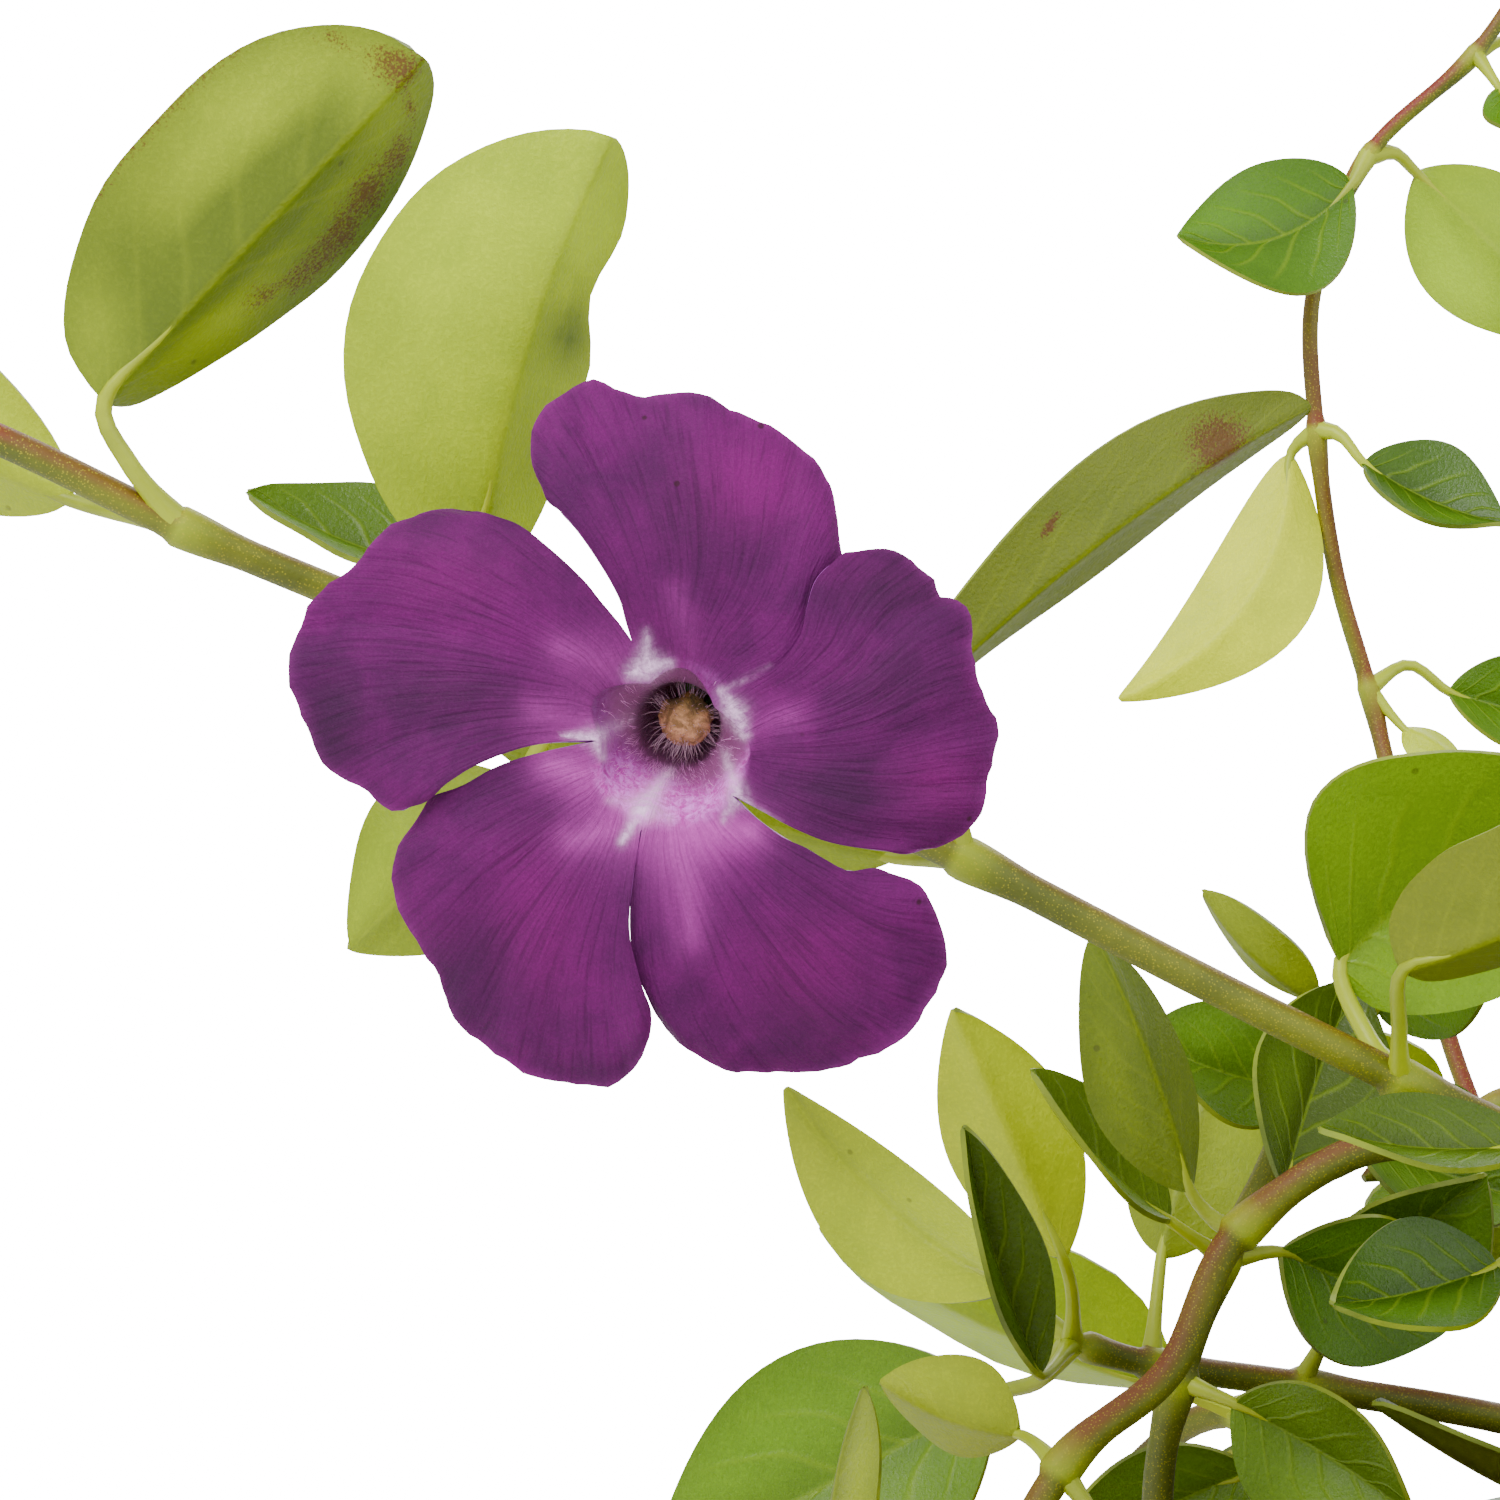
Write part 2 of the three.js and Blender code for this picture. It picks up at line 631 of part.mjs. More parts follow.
        half: 3.4, turn: 340 },
      { node: 2, neck: [27.6, 0.8, 99], tip: [30.2, -1.4, 98], half: 1.6, turn: 150 },
      { node: 7, neck: [31.6, 28.0, 98], tip: [32.6, 26.2, 96], half: 1.8, turn: 0 },
      { node: 7, neck: [32.0, 30.0, 102], tip: [38.6, 30.6, 104], half: 3.2, turn: 10 },
      { node: 8, neck: [33.6, 36.0, 99], tip: [31.8, 42.0, 96], half: 2.2, turn: 160 },
      { node: 8, neck: [35.0, 35.4, 101], tip: [39.8, 38.6, 103], half: 2.2, turn: 20 },
    ],
  },
];

// The other shoots: azimuth and base radius in the soil, reach outwards, rise over the soil
// and the height of the tip over it, with leaves by the rule.
const RULE_SHOOTS = [
  { azimuth: -144, base: 40, reach: 56, rise: 18, tip: -34 },
  { azimuth: -108, base: 36, reach: 66, rise: 27, tip: -30 },
  { azimuth: -72, base: 38, reach: 68, rise: 25, tip: -44 },
  { azimuth: -32, base: 35, reach: 72, rise: 31, tip: -26 },
  { azimuth: 8, base: 38, reach: 72, rise: 27, tip: -40 },
  { azimuth: 50, base: 36, reach: 70, rise: 32, tip: -28 },
  { azimuth: 94, base: 38, reach: 64, rise: 26, tip: -36 },
  { azimuth: 138, base: 42, reach: 54, rise: 20, tip: -38 },
  { azimuth: -100, base: 16, reach: 40, rise: 52, tip: 44 },
  { azimuth: -42, base: 20, reach: 44, rise: 58, tip: 52 },
  { azimuth: 22, base: 22, reach: 40, rise: 66, tip: 62 },
  { azimuth: 84, base: 20, reach: 36, rise: 50, tip: 44 },
  { azimuth: 148, base: 30, reach: 18, rise: 40, tip: 36 },
  { azimuth: -150, base: 22, reach: 22, rise: 30, tip: 28 },
];

function ruleRoute({ azimuth, base, reach, rise, tip }) {
  const turn = azimuth * DEGREE;
  const out = new THREE.Vector3(Math.cos(turn), Math.sin(turn), 0);
  const across = new THREE.Vector3(-Math.sin(turn), Math.cos(turn), 0);
  const at = (share, sway, height) =>
    out
      .clone()
      .multiplyScalar(base + reach * share)
      .addScaledVector(across, sway)
      .setZ(SOIL_LEVEL + height);
  const sway = 5 * Math.sin(3 * azimuth);
  return [
    at(0.14, 0.3 * sway, 0.7 * rise),
    at(0.5, sway, rise),
    at(0.82, 0.4 * sway, rise - 0.4 * (rise - tip)),
    at(1, -0.6 * sway, tip),
  ];
}

function buildStems() {
  const stems = [];
  for (const shoot of SET_SHOOTS) {
    stems.push({ ...shoot, stem: measure(stemPoints(shoot.base, shoot.route.map(seen))) });
  }
  RULE_SHOOTS.forEach((shoot, k) => {
    const azimuth = shoot.azimuth * DEGREE;
    const base = [shoot.base * Math.cos(azimuth), shoot.base * Math.sin(azimuth)];
    const stem = measure(stemPoints(base, ruleRoute(shoot)));
    const flat = shoot.tip < 0;
    const name = `${flat ? "trailing" : "upright"}_shoot_${k + 1}`;
    const rule = { azimuth, flat, seed: FIRST_SEED + k };
    stems.push({ name, base, radius: STEM_RADIUS, stem, rule });
  });
  for (const shoot of stems) {
    shoot.solid = tubeSolid(shoot.stem.curve, shoot.radius, shoot.stem.length, STEM_STEP);
    shoot.extras = [];
    shoot.leafSolids = [];
    place(shoot.name, "stem", shoot.solid);
  }
  return stems;
}

// Blooms: five slanting petals in one whorl on a tube, a calyx on the stalk, and the pistil.
// Each petal runs from the throat, between two corner angles, to its outline, in mm from the
// throat's middle, from its left edge to its right edge as seen from the front.
const PETALS = [
  { corners: [107, 21],
    outline: [[-4.6, 10.0], [-5.8, 12.6], [-3.0, 14.8], [1.3, 14.1], [3.8, 12.9], [6.1, 11.0],
      [7.1, 8.0], [5.5, 3.8]] },
  { corners: [21, -42],
    outline: [[3.4, 3.4], [7.2, 7.4], [10.5, 6.8], [12.7, 5.2], [13.8, 0.4], [12.9, -4.2],
      [8.4, -5.1], [4.6, -3.9]] },
  { corners: [-42, -108],
    outline: [[4.2, -4.2], [8.4, -5.8], [11.5, -8.9], [11.4, -11.0], [7.6, -14.3], [2.1, -14.1],
      [-0.8, -11.4], [-1.6, -7.2]] },
  { corners: [-108, -174],
    outline: [[-1.6, -7.2], [-0.8, -11.8], [-2.5, -15.1], [-6.8, -13.9], [-9.3, -11.4],
      [-11.7, -6.3], [-9.7, -2.5], [-7.2, -1.3]] },
  { corners: [-174, -253],
    outline: [[-6.8, -1.1], [-10.1, -3.0], [-12.2, -3.5], [-14.8, -1.3], [-16.1, 3.4],
      [-13.5, 7.2], [-9.3, 9.2], [-3.8, 6.3]] },
];

const PETAL_ROWS = [0, 0.34, 0.68, 1];
const PETAL_COLUMNS = 8;

// How far each petal's root passes under the next one's, in degrees about the throat.
const PETAL_LAP = 3;

// The petals rise a little from the throat, fall back at the rim, and each lies over the next.
function petalLift(radius, share) {
  const along = Math.max(0, radius - THROAT_RADIUS) / 12;
  return 1.6 * Math.sin(Math.PI * Math.min(along, 1) ** 0.8) - 0.9 * along + 1.1 * (share - 0.5) * along;
}

function petalSolid({ corners, outline }) {
  const edge = new THREE.SplineCurve(outline.map(([x, y]) => new THREE.Vector2(x, y)));
  const from = corners[0] + PETAL_LAP;
  const spread = corners[1] - PETAL_LAP - from;
  const rows = PETAL_ROWS.map((share) => {
    const row = [];
    for (let k = 0; k < PETAL_COLUMNS; k += 1) {
      const across = k / (PETAL_COLUMNS - 1);
      const turn = (from + spread * across) * DEGREE;
      const start = new THREE.Vector2(Math.cos(turn), Math.sin(turn)).multiplyScalar(THROAT_RADIUS);
      const end = edge.getPoint(across);
      const point = start.lerp(end, share);
      row.push(new THREE.Vector3(point.x, point.y, petalLift(point.length(), 1 - across)));
    }
    return row;
  });
  return sheetSolid(rows, PETAL_THICKNESS);
}

// The tube leans from the throat, so that the bloom looks a little down and to one side.
const TUBE_LEAN = new THREE.Vector3(0.13, 0.2, -0.97).normalize();

function leanAlongTube(solid) {
  const turn = new THREE.Quaternion().setFromUnitVectors(new THREE.Vector3(0, 0, -1), TUBE_LEAN);
  return solid.transform(new THREE.Matrix4().makeRotationFromQuaternion(turn).elements);
}

function buildCorolla() {
  const tube = latheSolid(
    [
      [0.75, -TUBE_LENGTH],
      [1.2, -TUBE_LENGTH],
      [1.2, -8.2],
      [1.75, -6],
      [2.6, -3.4],
      [3.5, 0.1],
      [2.9, 0.3],
      [2.0, -3.4],
      [1.15, -6],
      [0.75, -8.2],
      [0.75, -TUBE_LENGTH],
    ],
    8,
  );
  return wasm.Manifold.union([leanAlongTube(tube), ...PETALS.map(petalSolid)]);
}

function buildPistil() {
  const pistil = latheSolid(
    [
      [0, -TUBE_LENGTH - 0.35],
      [0.38, -TUBE_LENGTH - 0.35],
      [0.38, -3.6],
      [1.05, -3.0],
      [1.15, -2.2],
      [0.8, -1.5],
      [0, -1.3],
    ],
    7,
  );
  return leanAlongTube(pistil);
}

function buildCalyx() {
  const floor = -TUBE_LENGTH - 0.7;
  const cup = latheSolid(
    [
      [0, floor - 1.1],
      [1.7, floor - 0.7],
      [2.1, floor + 0.8],
      [2.1, floor + 2.6],
      [1.55, floor + 2.6],
      [1.55, floor],
      [0, floor],
    ],
    8,
  );
  const sepals = [];
  for (let k = 0; k < 5; k += 1) {
    const turn = 2 * Math.PI * (k / 5);
    const out = new THREE.Vector3(Math.cos(turn), Math.sin(turn), 0);
    const across = new THREE.Vector3(-Math.sin(turn), Math.cos(turn), 0);
    const row = (radius, height, half) =>
      [-1, 0, 1].map((side) =>
        out.clone().multiplyScalar(radius).addScaledVector(across, side * half).setZ(height),
      );
    const rows = [row(1.9, floor + 1.6, 0.7), row(2.5, floor + 4, 0.5), row(3.3, floor + 6.2, 0)];
    sepals.push(sheetSolid(rows, SEPAL_THICKNESS));
  }
  return leanAlongTube(wasm.Manifold.union([cup, ...sepals]));
}

// Each bloom's shoot and the number of the route's point that carries it, its throat as seen or
// how far ahead of and above that point it is, and the way it faces.
const BLOOMS = [
  { shoot: "flowering_shoot", node: 7, throat: [-3.38, 0.63, 0], facing: [0, -1, 0], turn: 0, size: 1 },
  { shoot: "upright_shoot_10", node: 2, ahead: 17, above: 9, facing: [0.72, 0.1, 0.6], turn: 31,
    size: 0.94 },
];

function buildBloom(bloom, shoot, number) {
  const facing = new THREE.Vector3(...bloom.facing).normalize();
  const right = UP.clone().cross(facing).normalize();
  const upward = facing.clone().cross(right);
  const node = shoot.stem.atPoint(bloom.node + FOOT_POINTS).point;
  const throat = bloom.throat
    ? seen(bloom.throat)
    : node.clone().addScaledVector(facing, bloom.ahead).addScaledVector(UP, bloom.above);
  const stand = new THREE.Matrix4()
    .makeBasis(right, upward, facing)
    .multiply(new THREE.Matrix4().makeRotationZ(bloom.turn * DEGREE))
    .multiply(new THREE.Matrix4().makeScale(bloom.size, bloom.size, bloom.size))
    .setPosition(throat);
  const corolla = buildCorolla().transform(stand.elements);
  const pistil = buildPistil().transform(stand.elements);
  const calyx = buildCalyx().transform(stand.elements);
  const foot = TUBE_LEAN.clone().multiplyScalar(CALYX_DEPTH + 0.5).applyMatrix4(stand);
  const back = TUBE_LEAN.clone().transformDirection(stand);
  const knee = foot.clone().addScaledVector(back, 3.2);
  const bend = knee.clone().lerp(node, 0.55).addScaledVector(UP, 1.2);
  const stalk = measure([foot, knee, bend, node]);
  shoot.extras.push(calyx, tubeSolid(stalk.curve, PEDICEL_RADIUS, stalk.length, STALK_STEP));
  place(`bloom_${number}_corolla`, "bloom", corolla);
  place(`bloom_${number}_pistil`, "bloom", pistil);
  shoot.extras.forEach((extra) => place(shoot.name, "stalk", extra));
  addPiece(`bloom_${number}_corolla`, corolla, PURPLE);
  addPiece(`bloom_${number}_pistil`, pistil, CREAM);
}

// Everything in place

const pot = buildPot();
const stems = buildStems();
const soil = buildSoil(stems);
place("pot", "pot", pot);
place("soil", "soil", soil);
addPiece("pot", pot, CLAY);
addPiece("soil", soil, SOIL);

BLOOMS.forEach((bloom, k) => {
  buildBloom(bloom, stems.find((shoot) => shoot.name === bloom.shoot), k + 1);
});

// Keeps the first of a leaf's makers that is clear, or none.
function tryLeaf(shoot, makers, shares) {
  for (const make of makers) {
    const { whole, blade } = leafSolids(make(), shares);
    if (isClear(shoot.name, whole, blade)) {
      place(shoot.name, "leaf", whole);
      shoot.leafSolids.push(whole);
      return;
    }
  }
}

for (const shoot of stems.filter((each) => each.leaves)) {
  for (const row of shoot.leaves) {
    const makers = SHIFTS.map((shift) => () => setLeaf(shoot.stem, row, shift));
    tryLeaf(shoot, makers, FINE_SHARES);
  }
}

for (const shoot of stems.filter((each) => each.rule)) {
  for (const { spot, draw } of ruleLeaves(shoot.stem, shoot.rule)) {
    const makers = TRIES.map((attempt) => () => ruleLeaf(shoot.stem, spot, draw, attempt));
    tryLeaf(shoot, makers, PLAIN_SHARES);
  }
}

for (const shoot of stems) {
  const whole = wasm.Manifold.union([shoot.solid, ...shoot.extras, ...shoot.leafSolids]);
  addPiece(shoot.name, whole, GREEN);
}

export default plant;
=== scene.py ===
import math
import random
from functools import cached_property

import bpy
import numpy as np
from mathutils import Matrix, Vector, kdtree


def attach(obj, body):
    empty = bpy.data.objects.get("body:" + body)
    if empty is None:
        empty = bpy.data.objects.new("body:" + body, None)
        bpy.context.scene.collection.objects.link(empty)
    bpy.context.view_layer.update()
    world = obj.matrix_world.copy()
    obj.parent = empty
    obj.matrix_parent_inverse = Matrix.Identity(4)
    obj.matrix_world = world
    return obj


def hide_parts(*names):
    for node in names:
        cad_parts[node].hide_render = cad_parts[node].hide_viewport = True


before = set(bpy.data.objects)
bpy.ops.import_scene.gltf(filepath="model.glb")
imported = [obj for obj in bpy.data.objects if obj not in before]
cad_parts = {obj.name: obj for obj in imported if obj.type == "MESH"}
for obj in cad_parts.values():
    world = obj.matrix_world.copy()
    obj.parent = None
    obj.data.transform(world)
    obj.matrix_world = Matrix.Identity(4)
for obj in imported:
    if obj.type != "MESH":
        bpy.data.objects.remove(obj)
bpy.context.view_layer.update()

MM = 0.001
UP = np.array([0.0, 0.0, 1.0])

# Pot and soil, as in the solids
POT_HEIGHT = 100
RIM_RADIUS = 62
RIM_DEPTH = 19
RIM_WALL = 6
BODY_RADIUS = 57.5
FOOT_RADIUS = 41
POT_WALL = 4.5
POT_FLOOR = 7
DRAIN_RADIUS = 4.5
DRAIN_CIRCLE = 20
DRAINS = 3
SOIL_LEVEL = 88
ROUND = 120

# Pot and soil in the looks alone
WORN_EDGE = 0.9
SOIL_RINGS = 46

# Stems and leaves, as in the solids
ROOT_DEPTH = 9
FOOT_HEIGHTS = [-ROOT_DEPTH, 1.5, 5.5]
SPAN_STEPS = 20
STEM_RADIUS = 0.95
LEAF_STALK_LENGTH = 4.2
LEAF_LENGTH = 22
LEAF_HALF_SHARE = 0.27
PAIR_TURN = 90
PAIR_TURN_FLAT = 34
INTERNODE = 21
FIRST_NODE = 24
TIP_SHRINK = 0.45
FIRST_SEED = 100

# Blooms, as in the solids
TUBE_LENGTH = 10.5
THROAT_RADIUS = 3.2
CALYX_DEPTH = 11.2
STALK_RADIUS = 0.6

# Thickness of the sheets in the looks alone
BLADE_THICK = 0.28
PETAL_THICK = 0.3

# The middle of the main view and how far off it is seen from
MIDDLE = np.array([-75.0, -42.0, 147.0])
SIGHT = 240


def unit(v):
    return v / np.linalg.norm(v)


def seen(place):
    right, up, back = place
    spread = (SIGHT + back) / SIGHT
    return MIDDLE + np.array([right * spread, back, up * spread])


def ways(turn):
    """The way out from an upright axis at this angle, and the way across it."""
    c, s = math.cos(turn), math.sin(turn)
    return np.array([c, s, 0.0]), np.array([-s, c, 0.0])


def turned(v, axis, degrees):
    a = math.radians(degrees)
    return v * math.cos(a) + np.cross(axis, v) * math.sin(a) + axis * (axis @ v) * (1 - math.cos(a))


# Handling of pieces


def let_go():
    """Leaves edit mode and deselects everything."""
    if bpy.context.object and bpy.context.object.mode != "OBJECT":
        bpy.ops.object.mode_set(mode="OBJECT")
    bpy.ops.object.select_all(action="DESELECT")


def pick(*pieces):
    """Selects these pieces alone; the first is the active one."""
    let_go()
    for piece in pieces:
        piece.select_set(True)
    bpy.context.view_layer.objects.active = pieces[0]


def named(name):
    """Names the primitive that was just added."""
    piece = bpy.context.object
    piece.name = name
    piece.data.name = name
    return piece


def select_points(piece, wanted):
    """In edit mode, selects the points whose place passes the test."""
    pick(piece)
    bpy.ops.object.mode_set(mode="EDIT")
    bpy.ops.mesh.select_mode(type="VERT")
    bpy.ops.mesh.select_all(action="DESELECT")
    bpy.ops.object.mode_set(mode="OBJECT")
    for point in piece.data.vertices:
        point.select = bool(wanted(point.co))
    bpy.ops.object.mode_set(mode="EDIT")


def modify(piece, name, kind, **settings):
    """Adds a modifier with these settings."""
    made = piece.modifiers.new(name, kind)
    for setting, value in settings.items():
        setattr(made, setting, value)


def apply_all(piece):
    """Applies the modifiers, then the place, turn and size."""
    pick(piece)
    for modifier in [m.name for m in piece.modifiers]:
        bpy.ops.object.modifier_apply(modifier=modifier)
    bpy.ops.object.transform_apply(location=True, rotation=True, scale=True)


def points_of(mesh):
    flat = np.empty(len(mesh.vertices) * 3)
    mesh.vertices.foreach_get("co", flat)
    return flat.reshape(-1, 3)


def move_points(mesh, places_mm):
    mesh.vertices.foreach_set("co", (np.asarray(places_mm) * MM).ravel())
    mesh.update()


def mark(mesh, name, values):
    """Writes one number for each point, or one for all, for the materials to read."""
    attribute = mesh.attributes.new(name, "FLOAT", "POINT")
    attribute.data.foreach_set("value", np.resize(np.float32(values), len(mesh.vertices)))


def copy_of(piece, name):
    made = piece.copy()
    made.data = piece.data.copy()
    made.name = name
    bpy.context.scene.collection.objects.link(made)
    return made


def join(pieces, name):
    pick(*pieces)
    if len(pieces) > 1:
        bpy.ops.object.join()
    return named(name)


def discard(piece):
    bpy.data.objects.remove(piece)


def grid(name, across, along):
    """A flat sheet from -1 to 1 each way."""
    let_go()
    bpy.ops.mesh.primitive_grid_add(x_subdivisions=across, y_subdivisions=along, size=2)
    return named(name)


def thicken(sheet, thick, *materials):
    """Gives a sheet its thickness in mm, and the materials of its face, back and rim."""
    for material in materials:
        sheet.data.materials.append(material)
    back = 1 if len(materials) > 1 else 0
    modify(sheet, "thickness", "SOLIDIFY", thickness=thick * MM, offset=0, material_offset=back,
           material_offset_rim=2 * back)
    apply_all(sheet)


def smooth(piece, degrees):
    pick(piece)
    bpy.ops.object.shade_smooth_by_angle(angle=math.radians(degrees))


def finish_piece(piece, slot, *nodes):
    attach(piece, "root")
    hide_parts(*nodes)


def cable(name, lines, around, material):
    """Round bars along lines of (place in mm, radius in mm), closed at their ends, as one mesh."""
    let_go()
    bpy.ops.curve.primitive_nurbs_path_add(location=(0, 0, 0))
    piece = named(name)
    curve = piece.data
    curve.splines.clear()
    curve.dimensions = "3D"
    curve.bevel_depth = MM
    curve.bevel_resolution = around
    curve.use_fill_caps = True
    for line in lines:
        spline = curve.splines.new("POLY")
        spline.points.add(len(line) - 1)
        for point, (place, radius) in zip(spline.points, line):
            point.co = (*(np.asarray(place) * MM), 1)
            point.radius = radius
    curve.materials.append(material)
    pick(piece)
    bpy.ops.object.convert(target="MESH")
    return named(name)


# Materials


RICHER = 1.15
BRIGHTER = 1.5
DEEPER = 1.5


def tint(red, green, blue):
    """A colour named by how it should look in the picture, 0 to 255, as the shaders want it.

    The picture's tone curve lifts and dulls dark and strong colours, so they are made deeper
    and richer here.
    """

    def linear(value):
        share = value / 255
        return share / 12.92 if share <= 0.04045 else ((share + 0.055) / 1.055) ** 2.4

    parts = [BRIGHTER * linear(value) ** DEEPER for value in (red, green, blue)]
    grey = 0.3 * parts[0] + 0.6 * parts[1] + 0.1 * parts[2]
    rich = [grey + RICHER * (part - grey) for part in parts]
    return (*[min(max(part, 0.002), 0.95) for part in rich], 1)


class Nodes:
    """A node tree with short ways to add to it."""

    def __init__(self, tree):
        self.tree = tree

    def put(self, value, socket):
        if isinstance(value, bpy.types.NodeSocket):
            self.tree.links.new(value, socket)
        else:
            socket.default_value = value

    def add(self, kind, inputs, output=0, **settings):
        """Adds a node and returns one of its outputs."""
        made = self.tree.nodes.new("ShaderNode" + kind)
        for key, value in settings.items():
            setattr(made, key, value)
        for key, value in inputs.items():
            self.put(value, made.inputs[key])
        return made.outputs[output]

    def calc(self, operation, *values):
        return self.add("Math", dict(enumerate(values)), operation=operation)

    def times(self, value, factor):
        return self.calc("MULTIPLY", value, factor)

    def times_plus(self, value, factor, more):
        return self.calc("MULTIPLY_ADD", value, factor, more)

    def level(self, value, low, high, to_low=0.0, to_high=1.0):
        """The value's place between low and high, eased, as a share from to_low to to_high."""
        inputs = dict(enumerate((value, low, high, to_low, to_high)))
        return self.add("MapRange", inputs, interpolation_type="SMOOTHSTEP")

    def blend(self, share, first, second, how="MIX"):
        inputs = {0: share, 6: first, 7: second}
        return self.add("Mix", inputs, 2, data_type="RGBA", blend_type=how)

    def noise(self, where, scale, detail=3.0, roughness=0.5, distortion=0.0):
        inputs = {"Vector": where, "Scale": scale, "Detail": detail, "Roughness": roughness}
        return self.add("TexNoise", {**inputs, "Distortion": distortion}, "Fac")

    def marked(self, name):
        """The number that the mesh's points were marked with."""
        return self.add("Attribute", {}, "Fac", attribute_name=name)

    def uv(self):
        return self.add("UVMap", {}, uv_map="UVMap")


def new_group(name, place, numbers, outputs):
    """A group that takes a place and numbers; returns its nodes, its inputs and its outputs."""
    tree = bpy.data.node_groups.new(name, "ShaderNodeTree")
    tree.interface.new_socket(place, in_out="INPUT", socket_type="NodeSocketVector")
    for label in numbers:
        tree.interface.new_socket(label, in_out="INPUT", socket_type="NodeSocketFloat")
    for label, kind in outputs.items():
        tree.interface.new_socket(label, in_out="OUTPUT", socket_type="NodeSocket" + kind)
    enter = tree.nodes.new("NodeGroupInput").outputs
    leave = tree.nodes.new("NodeGroupOutput").inputs
    return Nodes(tree), enter, leave


def make_mottle():
    """Soft cloudy patches."""
    numbers = ["Scale", "Low", "High"]
    nodes, enter, leave = new_group("mottle", "Where", numbers, {"Mask": "Float"})
    cloud = nodes.noise(enter["Where"], enter["Scale"], 4.0, 0.55, 0.4)
    nodes.put(nodes.level(cloud, enter["Low"], enter["High"]), leave["Mask"])
    return nodes.tree


def make_speckle():
    """Small round dots."""
    nodes, enter, leave = new_group("speckle", "Where", ["Scale", "Size"], {"Mask": "Float"})
    inputs = {"Vector": enter["Where"], "Scale": enter["Scale"], "Randomness": 1.0}
    distance = nodes.add("TexVoronoi", inputs, "Distance")
    half = nodes.times(enter["Size"], 0.5)
    nodes.put(nodes.level(distance, half, enter["Size"], 1.0, 0.0), leave["Mask"])
    return nodes.tree


def make_grain():
    """A finely uneven surface."""
    numbers = ["Scale", "Strength", "Depth"]
    nodes, enter, leave = new_group("grain", "Where", numbers, {"Normal": "Vector"})
    height = nodes.noise(enter["Where"], enter["Scale"], 5.0, 0.6)
    inputs = {"Strength": enter["Strength"], "Distance": enter["Depth"], "Height": height}
    nodes.put(nodes.add("Bump", inputs), leave["Normal"])
    return nodes.tree


def make_leaf_veins():
    """A leaf's midrib and the side veins that curve from it towards the tip."""
    outputs = {"Midrib": "Float", "Veins": "Float"}
    nodes, enter, leave = new_group("leaf_veins", "Leaf", [], outputs)
    side = nodes.add("SeparateXYZ", {0: enter["Leaf"]})
    along = side.node.outputs[1]
    across = nodes.calc("ABSOLUTE", nodes.times_plus(side, 2.0, -1.0))
    sway = nodes.noise(enter["Leaf"], 3.0, 1.0)
    swung = nodes.times_plus(sway, 0.9, nodes.times(along, 8.0))
    bent = nodes.times_plus(nodes.calc("POWER", across, 1.3), -2.1, swung)
    staggered = nodes.times_plus(nodes.calc("GREATER_THAN", side, 0.5), 0.4, bent)
    off = nodes.calc("ABSOLUTE", nodes.calc("SUBTRACT", nodes.calc("FRACT", staggered), 0.5))
    line = nodes.level(off, 0.0, 0.14, 1.0, 0.0)
    faded = nodes.times(line, nodes.level(across, 0.55, 0.95, 1.0, 0.0))
    nodes.put(nodes.level(across, 0.02, 0.09, 1.0, 0.0), leave["Midrib"])
    nodes.put(faded, leave["Veins"])
    return nodes.tree


MOTTLE = make_mottle()
SPECKLE = make_speckle()
GRAIN = make_grain()
LEAF_VEINS = make_leaf_veins()


class Skin(Nodes):
    """A material in the making: its shader, with its constant settings, and its colour so far."""

    def __init__(self, name, **constants):
        self.material = bpy.data.materials.new(name)
        self.material.use_nodes = True
        super().__init__(self.material.node_tree)
        self.shader = self.tree.nodes["Principled BSDF"]
        for key, value in constants.items():
            self.shader.inputs[key.replace("_", " ")].default_value = value

    @cached_property
    def where(self):
        """The place on the piece in mm, so that a noise scale is in repeats for each mm."""
        place = self.add("TexCoord", {}, "Object")
        return self.add("VectorMath", {0: place, "Scale": 1000.0}, operation="SCALE")

    def start(self, share, first, second):
        self.colour = self.blend(share, first, second)

    def cover(self, share, colour):
        """Lays a colour over the colour so far, by a share or a mask."""
        self.colour = self.blend(share, self.colour, colour)

    def toned(self, *factors):
        """The colour so far, times a factor each for red, green and blue."""
        return self.blend(1.0, self.colour, (*factors, 1), "MULTIPLY")

    def mottle(self, scale, low=0.35, high=0.7):
        inputs = {"Where": self.where, "Scale": scale, "Low": low, "High": high}
        return self.add("Group", inputs, node_tree=MOTTLE)

    def speckle(self, scale, size, share, colour):
        """Lays dots of a colour over the colour so far."""
        inputs = {"Where": self.where, "Scale": scale, "Size": size}
        self.cover(self.times(self.add("Group", inputs, node_tree=SPECKLE), share), colour)

    def streaks(self, across, along, detail=4.0, roughness=0.6, distortion=0.5):
        """Fine lines that run the long way of a petal."""
        inputs = {"Vector": self.uv(), "Scale": (across, along, 1.0)}
        return self.noise(self.add("Mapping", inputs), 1.0, detail, roughness, distortion)

    def grain(self, scale, strength, depth):
        inputs = {"Where": self.where, "Scale": scale, "Strength": strength, "Depth": depth}
        self.put(self.add("Group", inputs, node_tree=GRAIN), self.shader.inputs["Normal"])

    def relief(self, strength, depth, height):
        inputs = {"Strength": strength, "Distance": depth, "Height": height}
        self.put(self.add("Bump", inputs), self.shader.inputs["Normal"])

    def done(self, through=0):
        """Gives the shader its colour, and lets a share of the light pass through."""
        self.put(self.colour, self.shader.inputs["Base Color"])
        if through:
            glow = self.add("BsdfTranslucent", {"Color": self.colour})
            mixed = self.add("MixShader", {0: through, 1: self.shader.outputs[0], 2: glow})
            self.put(mixed, self.tree.nodes["Material Output"].inputs["Surface"])
        return self.material


